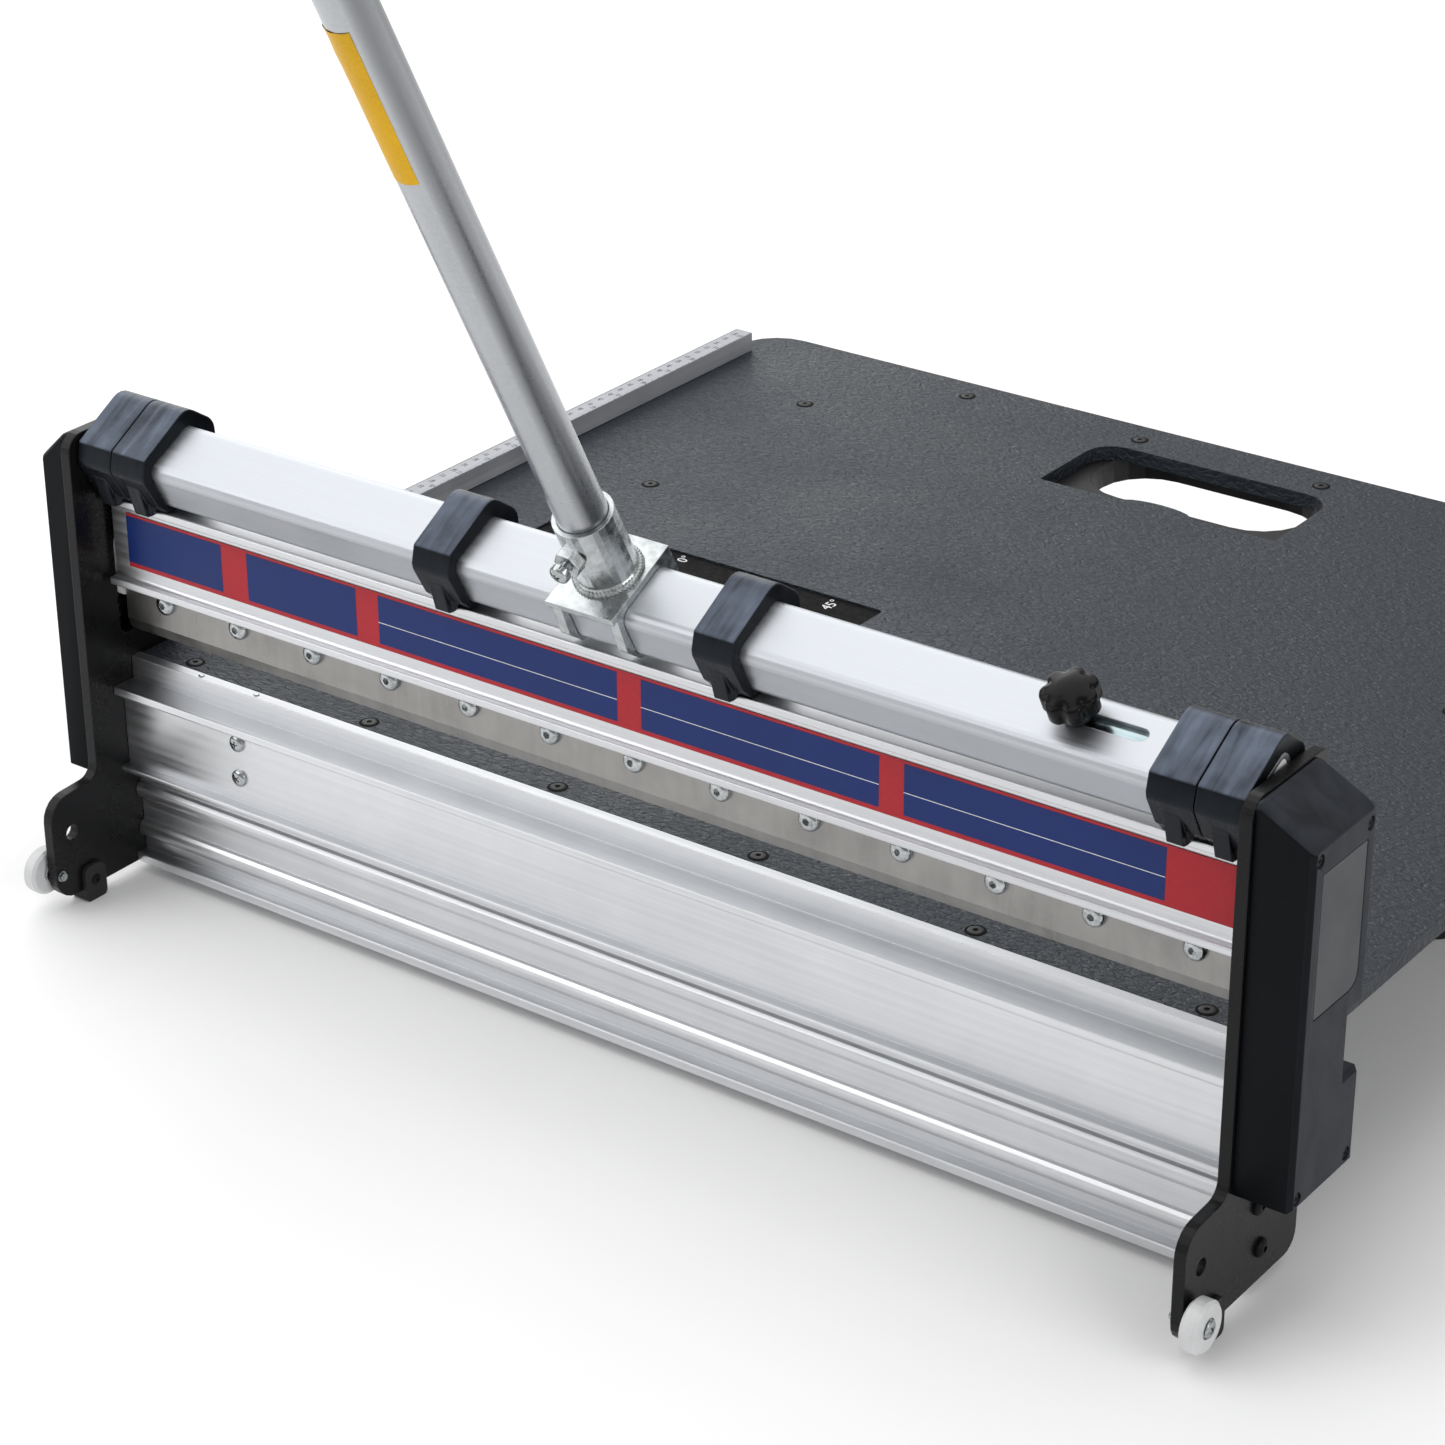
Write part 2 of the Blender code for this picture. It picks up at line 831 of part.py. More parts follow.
def cover(side, depth, name, paint, parent):
    near = outer_face + seat_gap
    far = near + depth
    wall = cover_wall
    edge = cover_edge

    def level(x, inset, slant):
        return [Vector((side * x, y, z)) for y, z in cover_outline(inset, slant)]

    start = near + cover_brim
    skin = lofted([
        level(near, 0.0, 0.0),
        level(start, 0.0, 0.0),
        level(far - edge, 0.0, cover_slant),
        level(far, edge, cover_slant),
    ])
    made = add(name, skin, paint, parent)
    hollow = lofted([
        level(near - overrun, wall, 0.0),
        level(start, wall, 0.0),
        level(far - wall, wall, cover_slant),
    ])
    combine(made, "cut_" + name + "_hollow", hollow, "DIFFERENCE")
    high = sole_thick + plate_height - panel_top_drop
    low = high - panel_height
    panel = rounded([
        (panel_front_y, low, panel_round),
        (panel_back_y, low, panel_cut_round),
        (panel_back_y, high, panel_round),
        (panel_front_y, high, panel_round),
    ])
    field = extruded([panel], side * (far - panel_depth), side * (far + overrun), "X")
    combine(made, "cut_" + name + "_panel", field, "DIFFERENCE")
    return made


def bush(side, name, paint, parent):
    bore = stub_radius + stub_run_gap
    skin = bore + bush_wall
    inside = inner_face - seat_gap
    shape = turned([
        (bore, inside),
        (skin, inside),
        (skin, outer_face + seat_gap),
        (skin + bush_lip_width, outer_face + seat_gap),
        (skin + bush_lip_width, outer_face + seat_gap + bush_lip),
        (bore, outer_face + seat_gap + bush_lip),
    ], round_steps, ring=True)
    return add(name, shifted(along_x(shape, side), 0.0, pivot_y, pivot_z), paint, parent)


def spring_pair(side, word, steel, spring_steel, parent):
    # a seat screwed to the plate's outer face, and the spring between it and the block
    spring_x = side * (outer_face + spring_stand)
    spring_top = block_low_z - seat_gap
    spring_low = cover_low_z + spring_floor
    near = outer_face + seat_gap
    shelf_top = spring_low - seat_gap
    reach = outer_face + spring_stand + seat_width / 2
    section = [
        (side * near, shelf_top - seat_flange_height),
        (side * (near + seat_flange_thick), shelf_top - seat_flange_height),
        (side * (near + seat_flange_thick), shelf_top - seat_thick),
        (side * reach, shelf_top - seat_thick),
        (side * reach, shelf_top),
        (side * near, shelf_top),
    ]
    half = seat_width / 2
    seat = add(f"{word}_spring_seat", extruded([section], block_y - half, block_y + half, "Y"), steel, parent)
    peg = turned([
        (0.0, shelf_top - seat_thick / 2),
        (seat_peg_radius, shelf_top - seat_thick / 2),
        (seat_peg_radius, shelf_top + seat_peg_height - edge_round),
        (seat_peg_radius - edge_round, shelf_top + seat_peg_height),
        (0.0, shelf_top + seat_peg_height),
    ], small_steps)
    combine(seat, f"join_{word}_spring_peg", shifted(peg, spring_x, block_y, 0.0), "UNION")
    coil = turned([
        (spring_radius - spring_wall, spring_low),
        (spring_radius, spring_low),
        (spring_radius, spring_top),
        (spring_radius - spring_wall, spring_top),
    ], small_steps, ring=True)
    add(f"{word}_return_spring", shifted(coil, spring_x, block_y, 0.0), spring_steel, parent)


def carrier(paint, parent):
    # drawn down from the carrier's top, where its own origin lies
    split = (lip_drop + rib_drop) / 2
    outline = rounded([
        (lip_y, 0.0, edge_round),
        (lip_y, -lip_drop, edge_round),
        (label_y, -lip_drop, 0.0),
        (label_y, -rib_drop, rib_cove),
        (lip_y, -rib_drop, edge_round),
        (lip_y, -rib_drop - rib_thick, edge_round),
        (blade_seat_y, -rib_drop - rib_thick, 0.0),
        (blade_seat_y, -web_drop, edge_round / 2),
        (web_back_y, -web_drop, edge_round),
        (web_back_y, -flange_thick, web_round),
        (flange_back_y, -flange_thick, edge_round),
        (flange_back_y, 0.0, edge_round),
    ])
    inner_front = label_y + carrier_wall
    inner_back = web_back_y - carrier_wall
    top = -lip_drop - carrier_wall
    low = -rib_drop - carrier_wall / 2
    mid = top + (low - top) * chamber_split_share
    upper = box_outline(inner_front, inner_back, mid + carrier_wall / 2, top, edge_round)
    lower = box_outline(inner_front, inner_back, low, mid - carrier_wall / 2, edge_round)
    shape = extruded([outline, upper, lower], -carrier_half, carrier_half, "X")
    return add("blade_carrier", shifted(shape, 0.0, -blade_seat_y, 0.0), paint, parent)


def blade(paint, parent):
    top = blade_top_z - carrier_top
    edge = blade_edge_z - carrier_top
    front = -seat_gap - blade_thick
    section = [
        (front, top),
        (front, edge + blade_bevel),
        (-seat_gap - blade_flat, edge),
        (-seat_gap, edge),
        (-seat_gap, top),
    ]
    return add("blade", extruded([section], -carrier_half, carrier_half, "X"), paint, parent, smooth=False)


def carrier_strip(paint, parent):
    front = label_y - blade_seat_y - seat_gap
    section = [
        (front - strip_thick, -strip_low_drop),
        (front, -strip_low_drop),
        (front, -strip_high_drop),
        (front - strip_thick, -strip_high_drop),
    ]
    left = -carrier_half + strip_left_end
    right = carrier_half - strip_right_end
    return add("carrier_strip", extruded([section], left, right, "X"), paint, parent, smooth=False)


def slide_block(side, name, paint, parent):
    # a tongue through the plate's slot and a wider head behind the plate
    low = -block_low_drop
    high = low + block_height
    half = block_width / 2
    y = block_y - blade_seat_y
    tongue = box_outline(y - half, y + half, low, high, half / 2)
    start = carrier_half + seat_gap
    end = outer_face + slide_gap + block_head_thick
    made = add(name, extruded([tongue], side * start, side * end, "X"), paint, parent)
    head_half = block_head_width / 2
    head = box_outline(y - head_half, y + head_half, low, high, edge_round)
    shape = extruded([head], side * (outer_face + slide_gap), side * end, "X")
    combine(made, "join_" + name, shape, "UNION")
    return made


def sleeve_outline():
    # from the pivot: the bottom and back follow the cam curve, the crown follows the bar's flat
    curve = cam_curve(handle_swing)
    crown = in_bar(sleeve_crown_u, sleeve_crown_w)
    front = [
        (*crown, sleeve_crown_round),
        (sleeve_brow_y, sleeve_brow_z, sleeve_corner_round),
        (sleeve_front_y, sleeve_front_z, 0.0),
        (sleeve_chin_y, sleeve_chin_z, sleeve_jaw_round),
        (sleeve_jaw_y, sleeve_jaw_z, sleeve_jaw_round),
        (sleeve_toe_y, sleeve_toe_z, 0.0),
        (sleeve_heel_y, -cam_low, 0.0),
    ]
    return rounded([(y, z, 0.0) for y, z in curve] + front)


def cam_sleeves(paint, parent):
    half = sleeve_width / 2
    body = extruded([sleeve_outline(), bar_section(seat_gap)], -half, half, "X")
    shared = mesh_of("cam_sleeve", body)
    end = inner_face - sleeve_plate_gap - half
    inner = [share * inner_face for share in sleeve_inner_shares]
    places = [-end, -end + sleeve_pitch, *inner, end - sleeve_pitch, end]
    claw_back = lip_y - claw_lip_gap - pivot_y
    tip_z = -cam_low - claw_tip_drop
    root = Vector((claw_root_y, claw_root_z))
    claw = [
        Vector((claw_front_y, sleeve_jaw_z)),
        Vector((claw_back - claw_tip_width, tip_z)),
        Vector((claw_back, tip_z)),
        Vector((claw_back, -cam_low + seat_gap)),
        Vector((claw_heel_y, -cam_low + claw_heel_over)),
    ]

    def claw_section(across, share):
        # the claw's outline at this distance from its middle, drawn in towards its root
        drawn = [root + (point - root) * share for point in claw] + [root]
        return [Vector((claw_offset + across, *point)) for point in drawn]

    wide = claw_width / 2
    narrow = wide - claw_taper
    for number, x in enumerate(places, 1):
        sleeve = add(f"cam_sleeve_{number}", shared, paint, parent, (x, 0.0, 0.0))
        shape = lofted([
            claw_section(-wide, claw_side_share),
            claw_section(-narrow, 1.0),
            claw_section(narrow, 1.0),
            claw_section(wide, claw_side_share),
        ])
        combine(sleeve, f"join_claw_{number}", shape, "UNION")


def cam_bar(paint, parent):
    loops = [bar_section(0.0), bar_section(-bar_wall)]
    return add("cam_bar", extruded(loops, -bar_half_length, bar_half_length, "X"), paint, parent)


def end_plug(side, name, paint, parent):
    # fills the bar's end and carries the stub that turns in the plate's bush
    end = bar_half_length - plug_inset
    start = end - plug_length
    half = bar_width / 2 - bar_wall - seat_gap
    low = -bar_depth + bar_wall + seat_gap
    high = -bar_wall - seat_gap
    corners = [(-half, low), (half, low), (half, high), (-half, high)]
    loops = [rounded([(*in_bar(u, w), plug_round) for u, w in corners])]
    if side > 0:
        loops.append(circle(*lock_place(0.0), pin_radius + pin_gap, small_steps))
    plug = add(name, extruded(loops, side * start, side * end, "X"), paint, parent)
    tip = outer_face + seat_gap + bush_lip + seat_gap + clip_thick + seat_gap + stub_end_length
    stub = turned([
        (0.0, end - overrun),
        (stub_radius, end - overrun),
        (stub_radius, tip - edge_round),
        (stub_radius - edge_round, tip),
        (0.0, tip),
    ], round_steps)
    combine(plug, "join_" + name, along_x(stub, side), "UNION")
    return plug


def clip(side, name, paint, parent):
    start = outer_face + seat_gap + bush_lip + seat_gap
    bore = stub_radius + seat_gap
    shape = turned([
        (bore, start),
        (clip_radius, start),
        (clip_radius, start + clip_thick),
        (bore, start + clip_thick),
    ], middle_steps, ring=True)
    return add(name, along_x(shape, side), paint, parent)


def bar_slot(bar, flat_matrix):
    # the slot in the bar's flat that the knob's stud runs along
    half = lock_slot_width / 2
    left = lock_knob_x - half
    right = lock_knob_x + lock_travel + half
    outline = box_outline(left, right, lock_u - half, lock_u + half, half)
    shape = extruded([outline], -bar_wall - seat_gap, overrun, "Z")
    bmesh.ops.transform(shape, matrix=flat_matrix, verts=shape.verts[:])
    combine(bar, "cut_lock_slot", shape, "DIFFERENCE")


def lock_rod(paint, parent):
    # the rod's own origin lies on its axis under the stud, X along the bar, Z out of the flat
    rod_end = bar_half_length - plug_inset - plug_length + pin_lead - lock_knob_x
    rod = turned([
        (0.0, -lock_rod_tail),
        (pin_radius, -lock_rod_tail),
        (pin_radius, rod_end - edge_round),
        (pin_radius - edge_round, rod_end),
        (0.0, rod_end),
    ], small_steps)
    made = add("lock_pin", along_x(rod), paint, parent)
    stud_top = lock_depth + lock_stud_top
    stud = turned([
        (0.0, 0.0),
        (lock_stud_radius, 0.0),
        (lock_stud_radius, stud_top),
        (0.0, stud_top),
    ], small_steps)
    combine(made, "join_lock_stud", stud, "UNION")
    return made


def star_knob(paint, parent):
    # seven soft lobes under a low dome, its own origin on the flat under the boss
    def ring_points(drawn_in, level, lobe_share=1.0):
        points = []
        for step in range(knob_steps):
            angle = 2 * math.pi * step / knob_steps
            wave = 1 - math.cos(knob_lobes * angle)
            radius = knob_radius - knob_lobe_depth * wave * lobe_share - drawn_in
            points.append(Vector((radius * math.cos(angle), radius * math.sin(angle), level)))
        return points

    crown = knob_high + knob_dome_rise * knob_dome_share
    head = lofted([
        ring_points(knob_edge, knob_low),
        ring_points(0.0, knob_low + knob_edge),
        ring_points(0.0, knob_high - knob_edge),
        ring_points(knob_edge, knob_high),
        ring_points(knob_radius * knob_crown_share, crown, 1 - knob_dome_share),
        ring_points(knob_radius * knob_point_share, knob_high + knob_dome_rise, 0.0),
    ])
    knob = add("star_knob", head, paint, parent)
    bore = lock_stud_radius + seat_gap
    boss = turned([
        (0.0, knob_boss_low),
        (knob_boss_radius, knob_boss_low),
        (knob_boss_radius, knob_low + knob_edge),
        (0.0, knob_low + knob_edge),
    ], middle_steps)
    combine(knob, "join_knob_boss", boss, "UNION")
    drill = turned([
        (0.0, knob_boss_low - overrun),
        (bore, knob_boss_low - overrun),
        (bore, knob_bore_depth),
        (0.0, knob_bore_depth),
    ], small_steps)
    combine(knob, "cut_knob_bore", drill, "DIFFERENCE")
    return knob


def handle_bracket(paint, parent):
    # two rings round the bar under a plate on its flat; the rings stay inside the cams' path
    top = seat_gap + bracket_thick
    curve = cam_curve(handle_swing * ring_swing_share, ring_cam_cut)
    outline = rounded(
        [(y, z, 0.0) for y, z in curve]
        + [
            (*in_bar(bracket_back_u, seat_gap), 0.0),
            (*in_bar(bracket_back_u, top), 0.0),
            (*in_bar(bracket_front_u, top), 0.0),
            (*in_bar(bracket_front_u, seat_gap), 0.0),
            (ring_front_y, ring_front_z, ring_round),
            (ring_jaw_y, ring_jaw_z, ring_round),
            (ring_toe_y, -cam_low + ring_cam_cut, 0.0),
        ]
    )
    hole = bar_section(seat_gap)
    ring = extruded([outline, hole], bracket_left_x, bracket_left_x + bracket_ring, "X")
    made = add("handle_bracket", ring, paint, parent)
    other = extruded([outline, hole], bracket_right_x - bracket_ring, bracket_right_x, "X")
    combine(made, "join_bracket_ring", other, "UNION")
    flat = [
        in_bar(bracket_front_u, seat_gap),
        in_bar(bracket_back_u, seat_gap),
        in_bar(bracket_back_u, top),
        in_bar(bracket_front_u, top),
    ]
    inset = bracket_ring / 2
    web = extruded([flat], bracket_left_x + inset, bracket_right_x - inset, "X")
    combine(made, "join_bracket_plate", web, "UNION")
    return made


def handle(paints, parent, floor_w):
    # built up along the handle's own axis from the bracket's top
    socket = turned([
        (socket_bore, floor_w),
        (socket_radius + weld_bead, floor_w),
        (socket_radius + weld_bead / 2, floor_w + weld_bead * weld_belly_share),
        (socket_radius, floor_w + weld_bead * weld_top_share),
        (socket_radius, floor_w + socket_height),
        (socket_bore, floor_w + socket_height),
    ], round_steps, ring=True)
    made = add("handle_socket", socket, paints["zinc"], parent)
    drill_radius = clamp_shank_radius + seat_gap
    swing = Matrix.Rotation(clamp_swing, 4, "Z")
    forward = swing @ Matrix.Rotation(math.pi / 2, 4, "X")
    place = Matrix.Translation((0.0, 0.0, floor_w + clamp_rise))

    def aimed(shape):
        bmesh.ops.transform(shape, matrix=place @ forward, verts=shape.verts[:])
        return shape

    nut_start = socket_radius - weld_sink
    nut_end = socket_radius + clamp_nut_length
    nut = extruded([hexagon(clamp_nut_flats)], nut_start, nut_end, "Z")
    combine(made, "join_clamp_nut", aimed(nut), "UNION")
    drill = turned([
        (0.0, socket_bore - overrun),
        (drill_radius, socket_bore - overrun),
        (drill_radius, nut_end + overrun),
        (0.0, nut_end + overrun),
    ], small_steps)
    combine(made, "cut_clamp_bore", aimed(drill), "DIFFERENCE")
    head_start = nut_end + clamp_shank_show
    shank_start = tube_radius + seat_gap
    bolt = turned([
        (0.0, shank_start),
        (clamp_shank_radius, shank_start),
        (clamp_shank_radius, head_start),
        (clamp_head_radius, head_start),
        (clamp_head_radius, head_start + clamp_head_length - edge_round),
        (clamp_head_radius - edge_round, head_start + clamp_head_length),
        (0.0, head_start + clamp_head_length),
    ], small_steps)
    add("clamp_bolt", aimed(bolt), paints["zinc"], parent)
    low = floor_w + tube_stand
    high = low + tube_length
    tube = turned([
        (tube_radius - tube_wall, low),
        (tube_radius, low),
        (tube_radius, high),
        (tube_radius - tube_wall, high),
    ], round_steps, ring=True)
    add("handle_tube", tube, paints["tube"], parent)
    bore = tube_radius + seat_gap
    cap = high + seat_gap
    grip_low = cap - hand_grip_length + hand_grip_end
    profile = [(bore, grip_low), (hand_grip_radius + hand_grip_rib, grip_low)]
    profile.append((hand_grip_radius + hand_grip_rib, grip_low + hand_grip_collar))
    pitch = (cap - grip_low - hand_grip_collar) / (hand_grip_ribs + 1)
    for rib in range(hand_grip_ribs):
        base = grip_low + hand_grip_collar + pitch * rib
        profile.append((hand_grip_radius, base + pitch * grip_rib_share))
        profile.append((hand_grip_radius + hand_grip_rib / 2, base + pitch * (1 + grip_rib_share) / 2))
        profile.append((hand_grip_radius, base + pitch))
    profile.append((hand_grip_radius, cap))
    profile.append((hand_grip_radius - hand_grip_end / 2, cap + hand_grip_end))
    profile.append((0.0, cap + hand_grip_end))
    profile.append((0.0, cap))
    profile.append((bore, cap))
    add("handle_grip", turned(profile, middle_steps, ring=True), paints["rubber"], parent)


def wheel_set(side, word, paints, parent):
    # a nylon wheel on a bolt through the leg, its own origin on the bolt's axis
    z = sole_thick + wheel_rise
    hub = empty(f"{word}_wheel_axle", (0.0, wheel_y, z), parent)
    start = outer_face + seat_gap + axle_spacer_length + seat_gap
    end = start + wheel_width
    bore = axle_radius + seat_gap
    tyre = turned([
        (bore, start),
        (wheel_radius - wheel_edge, start),
        (wheel_radius, start + wheel_edge),
        (wheel_radius, end - wheel_edge),
        (wheel_radius - wheel_edge, end),
        (wheel_hub_radius, end),
        (wheel_hub_radius, end - wheel_hub_step),
        (bore, end - wheel_hub_step),
    ], round_steps, ring=True)
    add(f"{word}_wheel", along_x(tyre, side), paints["nylon"], hub)
    cap = end + seat_gap
    bolt = turned([
        (0.0, inner_face - axle_tip_length),
        (axle_tip_radius, inner_face - axle_tip_length),
        (axle_tip_radius, inner_face - seat_gap),
        (axle_radius, inner_face - seat_gap),
        (axle_radius, outer_face + seat_gap),
        (axle_spacer_radius, outer_face + seat_gap),
        (axle_spacer_radius, outer_face + seat_gap + axle_spacer_length),
        (axle_radius, outer_face + seat_gap + axle_spacer_length),
        (axle_radius, cap - wheel_hub_step),
        (axle_cap_radius, cap - wheel_hub_step),
        (axle_cap_radius, end - axle_cap_rise),
        (axle_cap_nose_radius, end + axle_cap_rise),
        (0.0, end + axle_cap_rise),
    ], middle_steps)
    made = shifted(along_x(bolt, side), 0.0, wheel_y, z)
    add(f"{word}_wheel_bolt", made, paints["zinc"], parent)


def build():
    wipe()
    paints = {
        "black": material("black powder coat", (0.012, 0.012, 0.014), 0.42),
        "aluminium": material("brushed aluminium", (0.78, 0.79, 0.80), 0.34, 1.0),
        "bar": material("satin aluminium", (0.80, 0.81, 0.82), 0.38, 1.0),
        "steel": material("blade steel", (0.50, 0.49, 0.47), 0.30, 1.0),
        "zinc": material("zinc plate", (0.66, 0.66, 0.64), 0.30, 1.0),
        "tube": material("grey tube", (0.52, 0.53, 0.54), 0.40, 0.6),
        "cam": material("black nylon", (0.014, 0.014, 0.016), 0.36),
        "cover": material("moulded black plastic", (0.016, 0.016, 0.018), 0.50),
        "board": material("grained black board", (0.020, 0.022, 0.025), 0.60),
        "print": material("red printed strip", (0.44, 0.022, 0.032), 0.38),
        "nylon": material("white nylon", (0.80, 0.80, 0.78), 0.45),
        "rubber": material("black rubber", (0.020, 0.020, 0.020), 0.75),
        "spring": material("spring steel", (0.40, 0.40, 0.40), 0.35, 1.0),
    }
    base = empty("cutter_floor_point", (0.0, -floor_point_y, 0.0))

    for side, word in ((-1, "left"), (1, "right")):
        side_plate(side, f"{word}_side_plate", paints["black"], base)
        foot(side, f"{word}_foot", paints["rubber"], base)
        depth = right_cover_depth if side > 0 else left_cover_depth
        cover(side, depth, f"{word}_cover", paints["cover"], base)
        bush(side, f"{word}_pivot_bush", paints["nylon"], base)
        spring_pair(side, word, paints["zinc"], paints["spring"], base)
        wheel_set(side, word, paints, base)
    anvil(paints["aluminium"], base)
    table_board(paints["board"], base)
    carrying_frame(paints["cover"], base)
    fence(paints["bar"], base)
    table_legs(paints["cover"], paints["rubber"], base)

    slide = empty("carrier_slide", (0.0, blade_seat_y, carrier_top), base)
    carrier(paints["aluminium"], slide)
    blade(paints["steel"], slide)
    carrier_strip(paints["print"], slide)
    for side, word in ((-1, "left"), (1, "right")):
        slide_block(side, f"{word}_slide_block", paints["nylon"], slide)

    pivot = empty("bar_pivot", (0.0, pivot_y, pivot_z), base)
    flat_place = Vector((0.0, *in_bar(0.0, 0.0)))
    flat_matrix = Matrix.Translation(flat_place) @ Matrix.Rotation(bar_lean, 4, "X")
    bar = cam_bar(paints["bar"], pivot)
    bar_slot(bar, flat_matrix)
    cam_sleeves(paints["cam"], pivot)
    for side, word in ((-1, "left"), (1, "right")):
        end_plug(side, f"{word}_end_plug", paints["zinc"], pivot)
        clip(side, f"{word}_pivot_clip", paints["spring"], pivot)
    handle_bracket(paints["zinc"], pivot)

    stand_x = (bracket_left_x + bracket_right_x) / 2
    stand = Vector((stand_x, *in_bar(socket_u, 0.0)))
    stand_empty = empty("handle_axis", stand, pivot, (bar_lean, 0.0, 0.0))
    handle(paints, stand_empty, seat_gap + bracket_thick + seat_gap)

    rod_place = Vector((lock_knob_x, *in_bar(lock_u, -lock_depth)))
    rod_axis = empty("lock_pin_axis", rod_place, pivot, (bar_lean, 0.0, 0.0))
    lock_rod(paints["zinc"], rod_axis)
    knob_axis = empty("star_knob_axis", (0.0, 0.0, lock_depth), rod_axis)
    star_knob(paints["cover"], knob_axis)


build()
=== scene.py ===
# Laminate cutter: finishes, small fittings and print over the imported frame.
# X runs along the blade, Y goes back over the table, Z goes up from the floor.
import math

import bmesh
import bpy
from mathutils import Matrix, Vector, noise


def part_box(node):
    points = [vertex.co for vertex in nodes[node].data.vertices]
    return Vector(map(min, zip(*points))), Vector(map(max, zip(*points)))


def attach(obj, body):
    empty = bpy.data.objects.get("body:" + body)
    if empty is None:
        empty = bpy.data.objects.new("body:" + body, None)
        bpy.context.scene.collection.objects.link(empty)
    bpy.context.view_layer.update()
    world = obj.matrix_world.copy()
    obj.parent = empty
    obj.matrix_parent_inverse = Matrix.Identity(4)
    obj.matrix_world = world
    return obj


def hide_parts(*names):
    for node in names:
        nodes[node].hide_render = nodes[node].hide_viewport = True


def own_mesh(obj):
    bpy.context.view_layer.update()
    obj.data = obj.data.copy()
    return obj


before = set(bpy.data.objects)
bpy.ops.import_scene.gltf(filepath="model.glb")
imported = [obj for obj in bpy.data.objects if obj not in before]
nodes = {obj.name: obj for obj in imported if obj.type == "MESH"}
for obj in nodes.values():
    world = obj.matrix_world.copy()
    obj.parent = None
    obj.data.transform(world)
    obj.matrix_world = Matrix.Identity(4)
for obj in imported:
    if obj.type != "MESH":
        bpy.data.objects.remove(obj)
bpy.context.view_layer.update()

print("frame loaded:", len(nodes), "solids")


# pieces are placed in millimetres from the middle of the blade, the plates' front edge and their lower edge
origin = {"front": 185, "low": 7}


def place(x, y, z):
    return Vector((x, y - origin["front"], z + origin["low"])) / 1000


# materials start from a plain shader and get their tone, gloss and relief from noise
def startFinish(name, colour, roughness, metallic=0.0, specular=0.5, sheen=(1, 1, 1)):
    finish = bpy.data.materials.new(name)
    finish.use_nodes = True
    finish.diffuse_color = (*colour, 1)
    tree = finish.node_tree
    shader = tree.nodes["Principled BSDF"]
    shader.inputs["Base Color"].default_value = (*colour, 1)
    shader.inputs["Roughness"].default_value = roughness
    shader.inputs["Metallic"].default_value = metallic
    shader.inputs["Specular IOR Level"].default_value = specular
    shader.inputs["Specular Tint"].default_value = (*sheen, 1)
    return finish, tree, shader


def grain(tree, scale, stretch=(1, 1, 1), detail=5.0, distortion=0.0):
    coords = tree.nodes.new("ShaderNodeTexCoord")
    mapping = tree.nodes.new("ShaderNodeMapping")
    mapping.inputs["Scale"].default_value = stretch
    texture = tree.nodes.new("ShaderNodeTexNoise")
    texture.inputs["Scale"].default_value = scale
    texture.inputs["Detail"].default_value = detail
    texture.inputs["Distortion"].default_value = distortion
    tree.links.new(coords.outputs["Object"], mapping.inputs["Vector"])
    tree.links.new(mapping.outputs["Vector"], texture.inputs["Vector"])
    return texture.outputs[0]


def spread(tree, value, low, high, start=0.35, end=0.65):
    node = tree.nodes.new("ShaderNodeMapRange")
    node.inputs["From Min"].default_value = start
    node.inputs["From Max"].default_value = end
    node.inputs["To Min"].default_value = low
    node.inputs["To Max"].default_value = high
    tree.links.new(value, node.inputs["Value"])
    return node.outputs["Result"]


def mixed(tree, first, second, share):
    node = tree.nodes.new("ShaderNodeMix")
    node.inputs["Factor"].default_value = share
    tree.links.new(first, node.inputs["A"])
    tree.links.new(second, node.inputs["B"])
    return node.outputs["Result"]


def layered(tree, share, under, over):
    # a colour over a colour or a socket; 6, 7 and 2 are the Mix node's colour sockets
    node = tree.nodes.new("ShaderNodeMix")
    node.data_type = "RGBA"
    tree.links.new(share, node.inputs[0])
    if isinstance(under, tuple):
        node.inputs[6].default_value = (*under, 1)
    else:
        tree.links.new(under, node.inputs[6])
    node.inputs[7].default_value = (*over, 1)
    return node.outputs[2]


bevelSamples = 4


def relief(tree, shader, layers, edge=0.0005):
    # rounds the edges in the shading, then stacks the bumps of (height, depth)
    soft = tree.nodes.new("ShaderNodeBevel")
    soft.samples = bevelSamples
    soft.inputs["Radius"].default_value = edge
    normal = soft.outputs["Normal"]
    for height, depth in layers:
        bump = tree.nodes.new("ShaderNodeBump")
        bump.inputs["Distance"].default_value = depth
        tree.links.new(height, bump.inputs["Height"])
        tree.links.new(normal, bump.inputs["Normal"])
        normal = bump.outputs["Normal"]
    tree.links.new(normal, shader.inputs["Normal"])


def edgeRubAndGlint(tree, radius):
    # one along the edges, zero on the flats: it marks worn edges, and where a painted highlight runs along them
    soft = tree.nodes.new("ShaderNodeBevel")
    soft.samples = bevelSamples
    soft.inputs["Radius"].default_value = radius
    flat = tree.nodes.new("ShaderNodeNewGeometry")
    match = tree.nodes.new("ShaderNodeVectorMath")
    match.operation = "DOT_PRODUCT"
    tree.links.new(soft.outputs["Normal"], match.inputs[0])
    tree.links.new(flat.outputs["Normal"], match.inputs[1])
    return spread(tree, match.outputs["Value"], 1.0, 0.0, start=0.90, end=0.985)


def lookingAlong(tree, direction, low, high):
    # one on faces whose own normal follows a direction, zero on the rest
    coordinates = tree.nodes.new("ShaderNodeTexCoord")
    match = tree.nodes.new("ShaderNodeVectorMath")
    match.operation = "DOT_PRODUCT"
    tree.links.new(coordinates.outputs["Normal"], match.inputs[0])
    match.inputs[1].default_value = direction
    return spread(tree, match.outputs["Value"], 0.0, 1.0, low, high)


